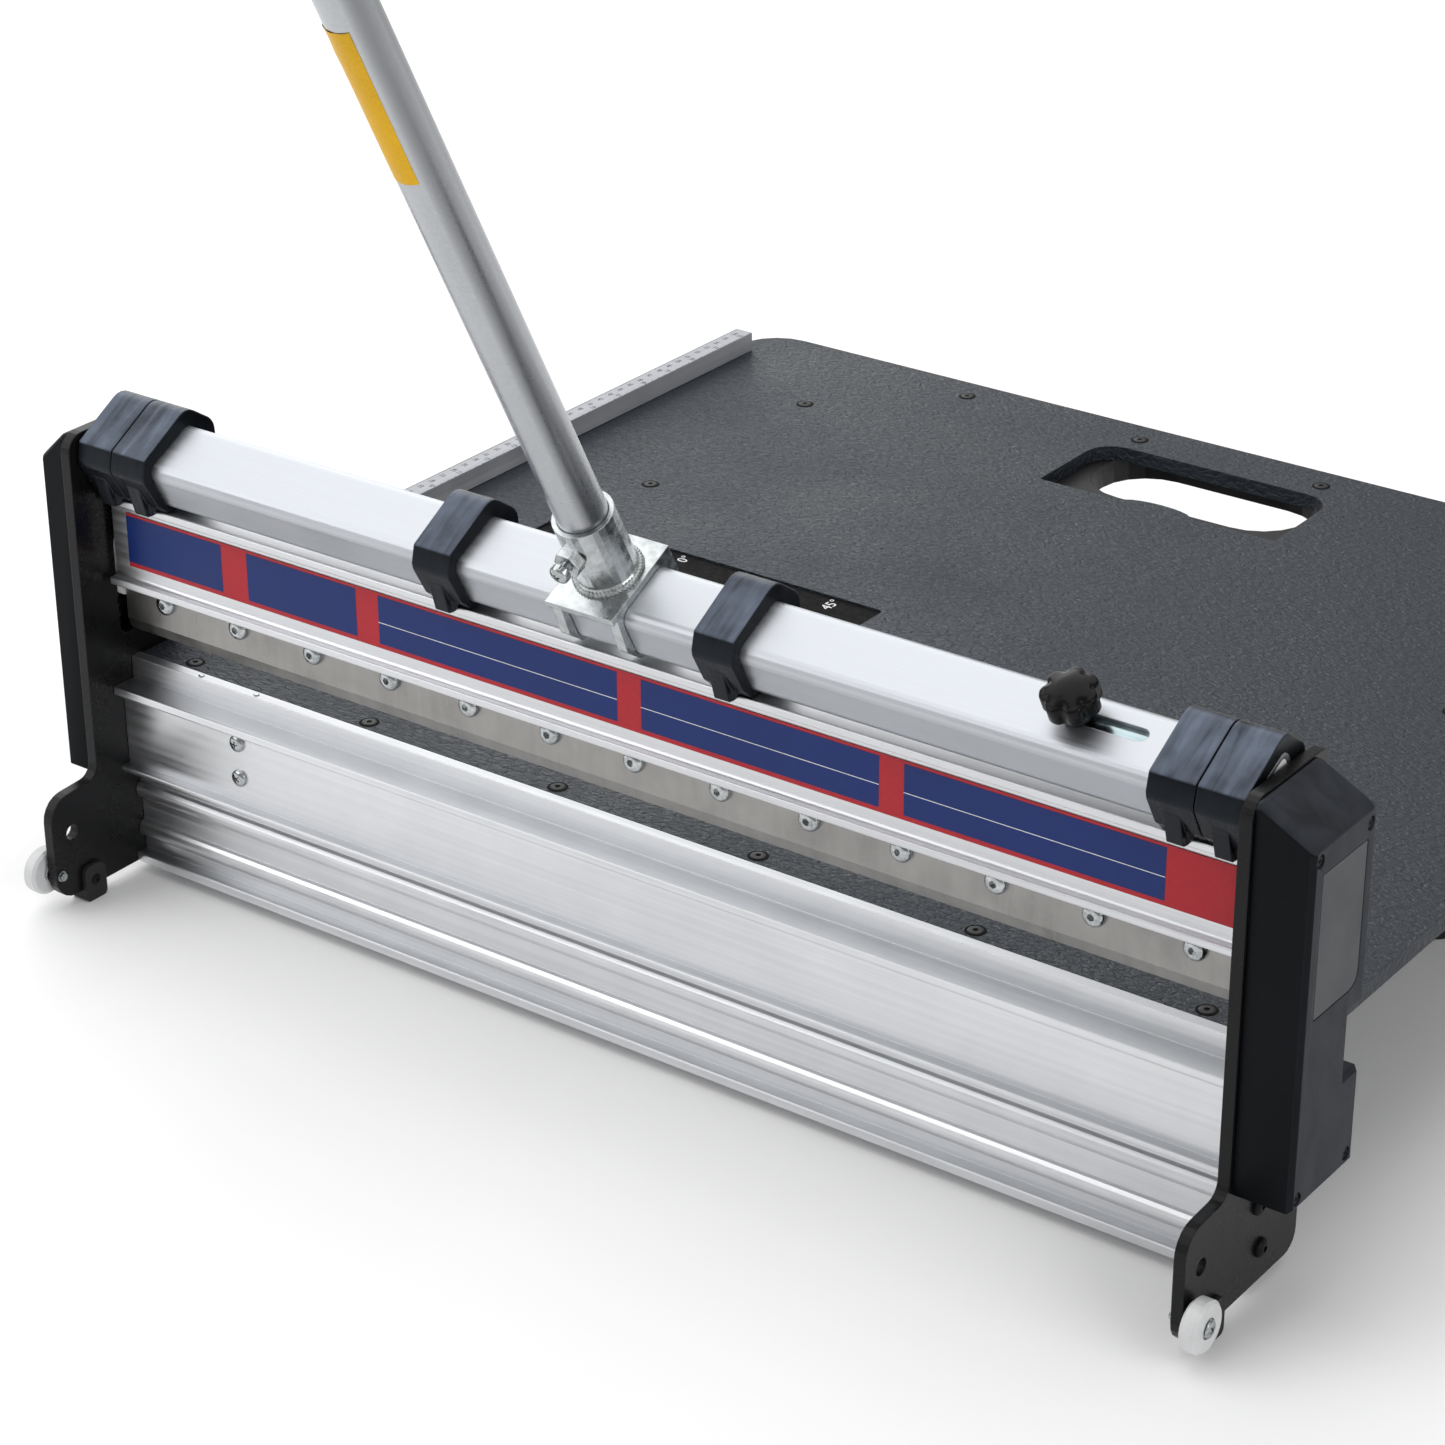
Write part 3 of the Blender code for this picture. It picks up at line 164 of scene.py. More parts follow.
def timesOf(tree, first, second):
    node = tree.nodes.new("ShaderNodeMath")
    node.operation = "MULTIPLY"
    tree.links.new(first, node.inputs[0])
    tree.links.new(second, node.inputs[1])
    return node.outputs["Value"]


def shade(colour, amount):
    return tuple(min(channel * amount, 1.0) for channel in colour)


def brushedMetal(name, look):
    # fine lines along one axis over slow clouds of gloss
    finish, tree, shader = startFinish(name, look["colour"], look["gloss"][0], metallic=1.0)
    lines = grain(tree, look["lineScale"], look.get("stretch", (1, 1, 1)), detail=8)
    clouds = grain(tree, look["cloudScale"], detail=4)
    both = mixed(tree, lines, clouds, look["cloudShare"])
    tone = layered(tree, spread(tree, both, 0, 1), shade(look["colour"], look["darkest"]), look["colour"])
    if "paintedShade" in look:
        # painted shade: a darker tone on the faces that look one way
        paintedShade = look["paintedShade"]
        tone = layered(tree, lookingAlong(tree, paintedShade["along"], *paintedShade["limits"]), tone, paintedShade["colour"])
    tree.links.new(tone, shader.inputs["Base Color"])
    tree.links.new(spread(tree, both, *look["gloss"]), shader.inputs["Roughness"])
    relief(tree, shader, [(lines, look["lineDepth"]), (clouds, look["cloudDepth"])], look["edge"])
    return finish


def mouldedFinish(name, look):
    # plastic, rubber, board or powder coat: a fine skin over slow waves
    finish, tree, shader = startFinish(name, look["colour"], look["gloss"][0], 0.0, look.get("specular", 0.5),
                                       look.get("sheen", (1, 1, 1)))
    skin = grain(tree, look["skinScale"], look.get("stretch", (1, 1, 1)), detail=4,
                 distortion=look.get("warp", 0.0))
    waves = grain(tree, look["waveScale"], detail=3)
    tone = layered(tree, spread(tree, waves, 0, 1), look["colour"], shade(look["colour"], look["lightest"]))
    if "smearAndSheen" in look:
        # painted sheen: a paler tone on the faces that look one way, standing in for the light they catch, broken up
        # by streaks that also read as handling marks
        smearAndSheen = look["smearAndSheen"]
        streaks = grain(tree, smearAndSheen["scale"], smearAndSheen["stretch"], detail=6, distortion=smearAndSheen["warp"])
        marks = spread(tree, mixed(tree, streaks, waves, share=0.4), smearAndSheen["least"], 1.0)
        reached = lookingAlong(tree, smearAndSheen["along"], *smearAndSheen["limits"])
        tone = layered(tree, timesOf(tree, marks, reached), tone, smearAndSheen["colour"])
    # paler edges: wear along them, and a painted highlight
    if "rubAndGlint" in look:
        tone = layered(tree, edgeRubAndGlint(tree, look["rubAndGlint"]), tone, look["rubAndGlintColour"])
    tree.links.new(tone, shader.inputs["Base Color"])
    tree.links.new(spread(tree, mixed(tree, skin, waves, share=0.5), *look["gloss"]), shader.inputs["Roughness"])
    relief(tree, shader, [(skin, look["skinDepth"]), (waves, look["waveDepth"])], look["edge"])
    return finish


filmLook = {"mottle": 900, "patch": 35, "dark": 0.88, "light": 1.08, "duller": 0.08, "brighter": 0.05,
            "depth": 0.000008, "edge": 0.0001}


def printedFinish(name, colour, roughness=0.34, specular=0.22):
    # a printed film with a faint mottle in ink and gloss
    finish, tree, shader = startFinish(name, colour, roughness, 0.0, specular)
    mottle = grain(tree, filmLook["mottle"], detail=3)
    patch = grain(tree, filmLook["patch"], detail=3)
    ink = layered(tree, spread(tree, mixed(tree, mottle, patch, share=0.5), 0, 1), shade(colour, filmLook["dark"]),
                  shade(colour, filmLook["light"]))
    gloss = spread(tree, patch, roughness - filmLook["brighter"], roughness + filmLook["duller"])
    tree.links.new(ink, shader.inputs["Base Color"])
    tree.links.new(gloss, shader.inputs["Roughness"])
    relief(tree, shader, [(mottle, filmLook["depth"])], filmLook["edge"])
    return finish


extrusionLook = {
    "colour": (0.70, 0.71, 0.73), "darkest": 0.84, "gloss": (0.28, 0.44), "lineScale": 1.0,
    "stretch": (3.0, 420.0, 420.0), "cloudScale": 26, "cloudShare": 0.35, "lineDepth": 0.000035,
    "cloudDepth": 0.00008, "edge": 0.0007,
}
extrusion = brushedMetal("extruded aluminium", extrusionLook)
anvilMetal = brushedMetal("anvil aluminium", {
    **extrusionLook, "colour": (0.77, 0.78, 0.80),
    # painted shade: the anvil's upward faces darker than its walls
    "paintedShade": {"along": (0, 0, 1), "limits": (0.80, 0.98), "colour": (0.44, 0.45, 0.465)},
})
barSatin = brushedMetal("satin bar aluminium", {
    "colour": (0.53, 0.55, 0.58), "darkest": 0.90, "gloss": (0.38, 0.50), "lineScale": 1.0,
    "stretch": (4.0, 620.0, 620.0), "cloudScale": 18, "cloudShare": 0.45, "lineDepth": 0.000018,
    "cloudDepth": 0.00006, "edge": 0.0008,
})
rulerSatin = brushedMetal("ruler aluminium", {
    "colour": (0.62, 0.635, 0.66), "darkest": 0.86, "gloss": (0.56, 0.70), "lineScale": 1.0,
    "stretch": (600.0, 3.0, 600.0), "cloudScale": 30, "cloudShare": 0.4, "lineDepth": 0.00002,
    "cloudDepth": 0.00003, "edge": 0.0005,
    # painted shade: the ruler's upward faces darker than its sides
    "paintedShade": {"along": (0, 0, 1), "limits": (0.80, 0.98), "colour": (0.41, 0.42, 0.44)},
})
bladeSteel = brushedMetal("ground blade steel", {
    "colour": (0.34, 0.332, 0.32), "darkest": 0.72, "gloss": (0.24, 0.42), "lineScale": 1.0,
    "stretch": (190.0, 60.0, 26.0), "cloudScale": 40, "cloudShare": 0.72, "lineDepth": 0.000012,
    "cloudDepth": 0.00004, "edge": 0.0002,
})
zincPlate = brushedMetal("zinc plate", {
    "colour": (0.66, 0.69, 0.70), "darkest": 0.58, "gloss": (0.15, 0.36), "lineScale": 210,
    "cloudScale": 42, "cloudShare": 0.5, "lineDepth": 0.00012,
    "cloudDepth": 0.00020, "edge": 0.0008,
})
weldMetal = brushedMetal("weld bead metal", {
    "colour": (0.52, 0.54, 0.54), "darkest": 0.45, "gloss": (0.26, 0.52), "lineScale": 420,
    "cloudScale": 160, "cloudShare": 0.5, "lineDepth": 0.00016,
    "cloudDepth": 0.0002, "edge": 0.0003,
})
screwZinc = brushedMetal("bright screw zinc", {
    "colour": (0.58, 0.61, 0.62), "darkest": 0.45, "gloss": (0.07, 0.20), "lineScale": 700,
    "cloudScale": 200, "cloudShare": 0.5, "lineDepth": 0.00002,
    "cloudDepth": 0.00003, "edge": 0.0002,
})
springSteel = brushedMetal("spring steel", {
    "colour": (0.36, 0.36, 0.37), "darkest": 0.55, "gloss": (0.25, 0.45), "lineScale": 500,
    "cloudScale": 90, "cloudShare": 0.4, "lineDepth": 0.00002,
    "cloudDepth": 0.00003, "edge": 0.0001,
})
greyTube = brushedMetal("satin grey tube", {
    "colour": (0.47, 0.485, 0.505), "darkest": 0.90, "gloss": (0.25, 0.34), "lineScale": 420,
    "cloudScale": 16, "cloudShare": 0.5, "lineDepth": 0.000003,
    "cloudDepth": 0.00004, "edge": 0.0003,
    # painted reflection: a dark stripe down one side of the tube, where dark surroundings would be mirrored
    "paintedShade": {"along": (0.930, -0.325, -0.170), "limits": (0.86, 0.998), "colour": (0.245, 0.252, 0.262)},
})
powderCoat = mouldedFinish("black powder coat", {
    "colour": (0.0045, 0.0046, 0.0050), "lightest": 1.5, "gloss": (0.24, 0.36), "skinScale": 520,
    "waveScale": 30, "skinDepth": 0.00002, "waveDepth": 0.0001, "edge": 0.0010, "specular": 0.19,
    # paler edges: edge wear and a painted edge highlight
    "rubAndGlint": 0.0005, "rubAndGlintColour": (0.018, 0.018, 0.020),
})
coverPlastic = mouldedFinish("moulded cover plastic", {
    "colour": (0.0030, 0.0034, 0.0042), "lightest": 1.5, "gloss": (0.40, 0.54), "skinScale": 1500,
    "waveScale": 22, "skinDepth": 0.00006, "waveDepth": 0.00012, "edge": 0.0012, "specular": 0.09,
    "sheen": (0.80, 0.90, 1.0),
    # painted sheen on the top and outer faces, paler than the near-black fronts, with faint smears on them
    "smearAndSheen": {"scale": 70, "stretch": (1.0, 1.0, 0.5), "warp": 0.6, "along": (0, 1, 1.0), "limits": (-0.75, -0.35),
              "least": 0.45, "colour": (0.034, 0.037, 0.044)},
    # paler edges: edge wear and a painted edge highlight
    "rubAndGlint": 0.0006, "rubAndGlintColour": (0.020, 0.021, 0.024),
})
sleeveNylon = mouldedFinish("sleeve nylon", {
    "colour": (0.0030, 0.0034, 0.0044), "lightest": 2.5, "gloss": (0.20, 0.44), "skinScale": 420,
    "waveScale": 60, "skinDepth": 0.00009, "waveDepth": 0.00016, "edge": 0.0014, "specular": 0.20,
    "sheen": (0.72, 0.85, 1.0),
    # painted sheen: a paler, bluer streaky tone on the faces that look up like the bar's top
    "smearAndSheen": {"scale": 170, "stretch": (1.0, 0.12, 0.12), "warp": 0.5, "along": (0, -0.463, 0.886),
              "limits": (0.70, 0.96), "least": 0.22, "colour": (0.130, 0.155, 0.205)},
    # paler edges: edge wear and a painted edge highlight
    "stretch": (1.0, 0.10, 0.10), "rubAndGlint": 0.0007, "rubAndGlintColour": (0.030, 0.033, 0.040),
})
knobPlastic = mouldedFinish("knob plastic", {
    "colour": (0.0028, 0.0028, 0.0032), "lightest": 1.5, "gloss": (0.15, 0.24), "skinScale": 900,
    "waveScale": 60, "skinDepth": 0.00002, "waveDepth": 0.00004, "edge": 0.0003, "specular": 0.14,
})
tableBoard = mouldedFinish("grained black board", {
    "colour": (0.0098, 0.0120, 0.0165), "lightest": 1.35, "gloss": (0.34, 0.58), "skinScale": 340,
    "waveScale": 9, "skinDepth": 0.0020, "waveDepth": 0.0001, "edge": 0.0006, "specular": 0.5,
    "stretch": (0.60, 1.30, 1.0), "warp": 0.8, "sheen": (0.80, 0.90, 1.0),
})
framePlastic = mouldedFinish("frame and leg plastic", {
    "colour": (0.008, 0.008, 0.009), "lightest": 1.5, "gloss": (0.40, 0.56), "skinScale": 900,
    "waveScale": 25, "skinDepth": 0.00008, "waveDepth": 0.0001, "edge": 0.001, "specular": 0.35,
})
whiteNylon = mouldedFinish("white nylon", {
    "colour": (0.60, 0.605, 0.61), "lightest": 1.12, "gloss": (0.34, 0.48), "skinScale": 700,
    "waveScale": 80, "skinDepth": 0.00003, "waveDepth": 0.00006, "edge": 0.0006,
})
# painted light: the plugs' white nylon made paler for the caps, which sit in shade
litCapNylon = mouldedFinish("cap nylon painted paler", {
    "colour": (0.80, 0.805, 0.81), "lightest": 1.08, "gloss": (0.30, 0.42), "skinScale": 700,
    "waveScale": 80, "skinDepth": 0.00003, "waveDepth": 0.00006, "edge": 0.0004,
})
softRubber = mouldedFinish("black rubber", {
    "colour": (0.009, 0.009, 0.0095), "lightest": 1.6, "gloss": (0.50, 0.72), "skinScale": 1100,
    "waveScale": 60, "skinDepth": 0.0001, "waveDepth": 0.0001, "edge": 0.0008, "specular": 0.4,
})
blackSteel = mouldedFinish("blackened screw steel", {
    "colour": (0.004, 0.004, 0.0045), "lightest": 1.8, "gloss": (0.36, 0.52), "skinScale": 1200,
    "waveScale": 300, "skinDepth": 0.00002, "waveDepth": 0.00003, "edge": 0.0002, "specular": 0.13,
})
# painted shade: near-black for the countersinks and sockets of the table screws and for the board's recess
blackAndShade = mouldedFinish("black and painted shade", {
    "colour": (0.0012, 0.0012, 0.0014), "lightest": 1.6, "gloss": (0.60, 0.80), "skinScale": 1200,
    "waveScale": 300, "skinDepth": 0.00002, "waveDepth": 0.00003, "edge": 0.0002, "specular": 0.10,
})
sliderZinc = brushedMetal("blue zinc", {
    "colour": (0.40, 0.50, 0.52), "darkest": 0.75, "gloss": (0.12, 0.24), "lineScale": 1.0,
    "stretch": (8.0, 500.0, 500.0), "cloudScale": 120, "cloudShare": 0.4, "lineDepth": 0.00002,
    "cloudDepth": 0.00003, "edge": 0.0002,
})
labelGrey = printedFinish("grey label film", (0.036, 0.039, 0.045), 0.36)
redFilm = printedFinish("red film", (0.42, 0.020, 0.030))
blueFilm = printedFinish("blue film", (0.008, 0.026, 0.145))
whiteInk = printedFinish("white ink", (0.78, 0.79, 0.80))
greyInk = printedFinish("grey ink", (0.050, 0.055, 0.075))
yellowFilm = printedFinish("yellow film", (0.72, 0.40, 0.006), 0.38)
print("materials made:", len(bpy.data.materials))


def bothSides(*words):
    return [f"{side}_{word}" for word in words for side in ("left", "right")]


def underTable(word):
    return [f"{word}_{row}_{side}" for row in ("front", "rear") for side in ("left", "right")]


finishOfNode = {
    powderCoat: bothSides("side_plate"),
    coverPlastic: bothSides("cover"),
    sleeveNylon: [f"cam_sleeve_{number}" for number in range(1, 7)],
    barSatin: ["cam_bar"],
    extrusion: ["blade_carrier"],
    anvilMetal: ["anvil_extrusion"],
    rulerSatin: ["fence_ruler"],
    bladeSteel: ["blade"],
    zincPlate: ["handle_bracket", "handle_socket", "clamp_bolt", "lock_pin", *bothSides("spring_seat")],
    screwZinc: bothSides("wheel_bolt"),
    springSteel: bothSides("return_spring", "pivot_clip"),
    greyTube: ["handle_tube"],
    tableBoard: ["table_board"],
    framePlastic: ["carrying_frame", *underTable("table_leg")],
    whiteNylon: bothSides("wheel", "pivot_bush", "slide_block", "end_plug"),
    softRubber: ["handle_grip", *bothSides("foot"), *underTable("leg_pad")],
    knobPlastic: ["star_knob"],
    redFilm: ["carrier_strip"],
}
for finish, names in finishOfNode.items():
    for name in names:
        for holder in nodes[name].material_slots:
            holder.material = finish
print("solids painted:", sum(len(names) for names in finishOfNode.values()), "of", len(nodes))


def linked(name, data):
    thing = bpy.data.objects.new(name, data)
    bpy.context.scene.collection.objects.link(thing)
    return thing


shading = {"sharp": math.radians(32), "flatness": 100}


def newPiece(name, shape, finishes, body, evened=False):
    mesh = bpy.data.meshes.new(name)
    shape.to_mesh(mesh)
    shape.free()
    for finish in finishes:
        mesh.materials.append(finish)
    mesh.shade_smooth()
    mesh.set_sharp_from_angle(angle=shading["sharp"])
    piece = linked(name, mesh)
    if evened:
        # large flats keep straight shading beside rounded edges
        even = piece.modifiers.new("even shading", "WEIGHTED_NORMAL")
        even.keep_sharp = True
        even.weight = shading["flatness"]
    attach(piece, body)
    return piece


mergeDistance = 0.000001


def copiedSolid(name):
    # a closed copy of a solid, which comes as loose triangles
    shape = bmesh.new()
    shape.from_mesh(nodes[name].data)
    bmesh.ops.remove_doubles(shape, verts=shape.verts[:], dist=mergeDistance)
    return shape


def outward(shape):
    bmesh.ops.recalc_face_normals(shape, faces=shape.faces[:])
    return shape


def put(shape, matrix):
    bmesh.ops.transform(shape, matrix=matrix, verts=shape.verts[:])


def swept(shape, geom, angle, steps, rise=0.0, whole=False):
    # turns points, lines or a face about Z
    return bmesh.ops.spin(shape, geom=geom, cent=(0, 0, 0), axis=(0, 0, 1), dvec=(0, 0, rise), angle=angle,
                          steps=steps, use_merge=whole, use_duplicate=False)["geom_last"]


def profileLine(shape, profile):
    # points and lines through (radius, height) pairs
    points = [shape.verts.new((radius, 0, height)) for radius, height in profile]
    return points + [shape.edges.new(pair) for pair in zip(points, points[1:])]


def spun(profile, steps=36):
    shape = bmesh.new()
    swept(shape, profileLine(shape, profile), math.tau, steps, whole=True)
    bmesh.ops.remove_doubles(shape, verts=shape.verts[:], dist=mergeDistance)
    return outward(shape)


def standingRing(radius, sides, reach, height, filled):
    # a circle on edge beside the Z axis, ready to be swept
    shape = bmesh.new()
    bmesh.ops.create_circle(shape, cap_ends=filled, segments=sides, radius=radius)
    put(shape, Matrix.Translation((reach, 0, height)) @ Matrix.Rotation(math.pi / 2, 4, "X"))
    return shape


def drawnOut(shape, way):
    # gives flat faces their thickness
    grown = bmesh.ops.extrude_face_region(shape, geom=shape.faces[:])["geom"]
    bmesh.ops.translate(shape, verts=[item for item in grown if isinstance(item, bmesh.types.BMVert)], vec=way)
    return outward(shape)


def rounded(shape, geom, offset, segments, affect="EDGES"):
    bmesh.ops.bevel(shape, geom=geom, offset=offset, segments=segments, profile=0.5, affect=affect, material=-1)


def slab(shape, low, high, finishIndex=0):
    # a plate between two corners
    made = bmesh.ops.create_cube(shape, size=1)["verts"]
    size = Matrix.Diagonal((high.x - low.x, high.y - low.y, high.z - low.z, 1))
    bmesh.ops.transform(shape, matrix=Matrix.Translation((low + high) / 2) @ size, verts=made)
    for face in {face for vert in made for face in vert.link_faces}:
        face.material_index = finishIndex


def joined(shape, added):
    mesh = bpy.data.meshes.new("joining")
    added.to_mesh(mesh)
    added.free()
    shape.from_mesh(mesh)
    bpy.data.meshes.remove(mesh)


def cutAway(shape, cutter):
    # takes one closed shape out of another
    held = []
    for source in (shape, cutter):
        mesh = bpy.data.meshes.new("cutting")
        source.to_mesh(mesh)
        source.free()
        held.append(linked("cutting", mesh))
    cut = held[0].modifiers.new("cut", "BOOLEAN")
    cut.operation = "DIFFERENCE"
    cut.solver = "EXACT"
    cut.object = held[1]
    graph = bpy.context.evaluated_depsgraph_get()
    result = bmesh.new()
    result.from_mesh(held[0].evaluated_get(graph).to_mesh())
    for item in held:
        mesh = item.data
        bpy.data.objects.remove(item)
        bpy.data.meshes.remove(mesh)
    return result


def domed(look, mouth):
    # profile of a button head from its socket's mouth down to its seat and in to its middle
    rows = 7
    profile = [(mouth, look["rise"])]
    for row in range(1, rows + 1):
        angle = math.pi / 2 * row / rows
        reach = (look["radius"] - mouth) * math.sin(angle)
        profile.append((mouth + reach, look["rim"] + (look["rise"] - look["rim"]) * math.cos(angle)))
    return profile + [(look["radius"], 0), (0, 0)]


def socketScrew(look):
    # a button head with a hexagon socket; the socket has the second material
    mouth = look["flats"] / math.sqrt(3)
    shape = spun(domed(look, mouth))
    ring = [edge for edge in shape.edges if edge.is_boundary]
    for vert in {vert for edge in ring for vert in edge.verts}:
        angle = math.atan2(vert.co.y, vert.co.x)
        flat = math.fmod(angle + math.tau, math.pi / 3) - math.pi / 6
        reach = look["flats"] / 2 / math.cos(flat)
        vert.co.x = reach * math.cos(angle)
        vert.co.y = reach * math.sin(angle)
    sunk = bmesh.ops.extrude_edge_only(shape, edges=ring)["geom"]
    lower = [item for item in sunk if isinstance(item, bmesh.types.BMVert)]
    bmesh.ops.translate(shape, verts=lower, vec=(0, 0, -look["depth"]))
    floor = bmesh.ops.holes_fill(shape, edges=[edge for edge in shape.edges if edge.is_boundary])["faces"]
    for face in [item for item in sunk if isinstance(item, bmesh.types.BMFace)] + floor:
        face.material_index = 1
    return outward(shape)


crossRecess = {"width": 0.24, "taper": 0.62}


def crossScrew(look):
    # a pan head with a cross recess, cut by two tapered bars
    shape = spun(domed(look, 0))
    for turn in (0, math.pi / 2):
        bar = bmesh.new()
        bmesh.ops.create_cube(bar, size=1)
        size = Matrix.Diagonal((look["cross"], look["cross"] * crossRecess["width"], look["depth"] * 2, 1))
        lift = Matrix.Translation((0, 0, look["rise"]))
        put(bar, lift @ Matrix.Rotation(turn, 4, "Z") @ size)
        for vert in bar.verts:
            if vert.co.z < look["rise"]:
                vert.co.x *= crossRecess["taper"]
                vert.co.y *= crossRecess["taper"]
        shape = cutAway(shape, bar)
    return shape


def facing(point, direction, turn=0.0):
    # seats a shape's own Z along a direction at a point
    swing = Vector(direction).to_track_quat("Z", "Y").to_matrix().to_4x4()
    return Matrix.Translation(point) @ swing @ Matrix.Rotation(turn, 4, "Z")


def seatsOn(points, level, direction, turn=0.0):
    # seats on the face at this level along the direction, each turned a little further than the last
    axis = max(range(3), key=lambda number: abs(direction[number]))
    seats = []
    for index, point in enumerate(points):
        point[axis] = level
        seats.append(facing(point, direction, index * turn))
    return seats


def scatter(name, shape, seats, finishes, body):
    # one piece made of copies of a shape, one in each seat
    sample = bpy.data.meshes.new("sample")
    shape.to_mesh(sample)
    shape.free()
    whole = bmesh.new()
    for seat in seats:
        copied = sample.copy()
        copied.transform(seat)
        whole.from_mesh(copied)
        bpy.data.meshes.remove(copied)
    bpy.data.meshes.remove(sample)
    return newPiece(name, whole, finishes, body)


# thirteen socket screws hold the blade to the carrier
bladeScrews = {"radius": 0.0060, "rise": 0.0039, "rim": 0.0009, "flats": 0.0036, "depth": 0.0018,
               "first": -312, "pitch": 52, "count": 13, "height": 162, "turn": 0.7}
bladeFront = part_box("blade")[0].y
points = [place(bladeScrews["first"] + bladeScrews["pitch"] * index, 0, bladeScrews["height"])
          for index in range(bladeScrews["count"])]
scatter("blade_screws", socketScrew(bladeScrews), seatsOn(points, bladeFront, (0, -1, 0), bladeScrews["turn"]),
        [screwZinc, screwZinc], "blade_slide")

# countersunk screws in the table: front row, rear row and the four legs
tableScrews = {"radius": 0.0041, "rise": 0.0005, "rim": 0.0002, "flats": 0.0026, "depth": 0.0003, "turn": 0.5,
               "sink": 0.0054, "film": 0.00008,
               "places": [(-310.5, 45.5), (-187, 45.5), (-62, 45.5), (62, 45.5), (187, 45.5), (310.5, 45.5),
                          (-187, 611.5), (-62, 611.5), (62, 611.5), (187, 611.5),
                          (-262, 383.4), (262, 383.4), (-262, 541.7), (262, 541.7)]}
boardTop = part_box("table_board")[1].z
seats = seatsOn([place(x, y, 0) for x, y in tableScrews["places"]], boardTop, (0, 0, 1), tableScrews["turn"])
# their sockets are near-black: painted shade
scatter("table_screws", socketScrew(tableScrews), seats, [framePlastic, blackAndShade], "base")
# a flat black ring round each head: painted shade of its countersink
sinkShadeRing = spun([(0, tableScrews["film"]), (tableScrews["sink"] - tableScrews["film"], tableScrews["film"]),
                 (tableScrews["sink"], 0), (0, 0)])
scatter("table_screw_sink_shade", sinkShadeRing, seats, [blackAndShade], "base")

# a smooth copy of each cover with four counterbores, its screws, and the two socket screws low on each plate
coverScrews = {"radius": 0.0029, "rise": 0.0011, "rim": 0.0006, "cross": 0.0034, "depth": 0.0007, "turn": 0.6,
               "bore": 0.0034, "boreSteps": 32, "sunk": 0.0016,
               "places": [(7.2, 236.5), (52.0, 235.6), (52.3, 69), (7.5, 68.5)]}
plateScrews = {"radius": 0.0050, "rise": 0.0030, "rim": 0.0008, "flats": 0.0030, "depth": 0.0016, "turn": 0.4,
               "places": [(32.8, 18), (28.8, 43.0)]}
sides = ((-1, "left"), (1, "right"))
for side, word in sides:
    low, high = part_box(f"{word}_cover")
    face = high.x if side > 0 else low.x
    shell = copiedSolid(f"{word}_cover")
    points = [place(0, y, z) for y, z in coverScrews["places"]]
    for seat in seatsOn(points, face, (side, 0, 0)):
        bore = bmesh.new()
        bmesh.ops.create_cone(bore, cap_ends=True, segments=coverScrews["boreSteps"], radius1=coverScrews["bore"],
                              radius2=coverScrews["bore"], depth=coverScrews["sunk"] * 2)
        put(bore, seat)
        shell = cutAway(shell, bore)
    cover = newPiece(f"{word}_cover_shell", shell, [coverPlastic], "base", True)
    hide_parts(f"{word}_cover")
    seats = seatsOn(points, face - side * coverScrews["sunk"], (side, 0, 0), coverScrews["turn"])
    scatter(f"{word}_cover_screws", crossScrew(coverScrews), seats, [blackSteel], "base")
    low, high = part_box(f"{word}_side_plate")
    points = [place(0, y, z) for y, z in plateScrews["places"]]
    seats = seatsOn(points, high.x if side > 0 else low.x, (side, 0, 0), plateScrews["turn"])
    scatter(f"{word}_plate_screws", socketScrew(plateScrews), seats, [blackSteel, blackSteel], "base")

# two bright cross screws on the anvil's front and two small pins on its lip
anvilScrews = {"radius": 0.0048, "rise": 0.0028, "rim": 0.0009, "cross": 0.0050, "depth": 0.0012, "turn": 0.9,
               "front": 24.2, "places": [(-262, 96.6), (-262, 76.1)]}
seats = seatsOn([place(x, 0, z) for x, z in anvilScrews["places"]], place(0, anvilScrews["front"], 0).y, (0, -1, 0),
                anvilScrews["turn"])
scatter("anvil_screws", crossScrew(anvilScrews), seats, [screwZinc], "base")
lipPins = {"radius": 0.0016, "rise": 0.0007, "rim": 0.0003, "steps": 20, "places": [(-296.5, 35.5), (-256.9, 35.5)]}
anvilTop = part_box("anvil_extrusion")[1].z
seats = seatsOn([place(x, y, 0) for x, y in lipPins["places"]], anvilTop, (0, 0, 1))
scatter("lip_pins", spun(domed(lipPins, 0), lipPins["steps"]), seats, [screwZinc], "base")

# cross screws on the wheel hubs, and small black ones on the inner faces of the rubber feet
hubScrews = {"radius": 0.0043, "rise": 0.0016, "rim": 0.0004, "cross": 0.0056, "depth": 0.0013, "turn": 0.5}
footScrews = {"radius": 0.0030, "rise": 0.0012, "rim": 0.0005, "cross": 0.0036, "depth": 0.0006, "turn": 0.3,
              "level": 0.55}
for side, word in sides:
    low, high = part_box(f"{word}_wheel_bolt")
    middle = (low + high) / 2
    middle.x = high.x if side > 0 else low.x
    scatter(f"{word}_hub_screw", crossScrew(hubScrews), [facing(middle, (side, 0, 0), hubScrews["turn"])],
            [screwZinc], "base")
for side, word in sides:
    low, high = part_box(f"{word}_foot")
    point = (low + high) / 2
    point.x = high.x if side < 0 else low.x
    point.z = low.z + (high.z - low.z) * footScrews["level"]
    scatter(f"{word}_foot_screw", crossScrew(footScrews), [facing(point, (-side, 0, 0), footScrews["turn"])],
            [blackSteel], "base")
print("screws made")

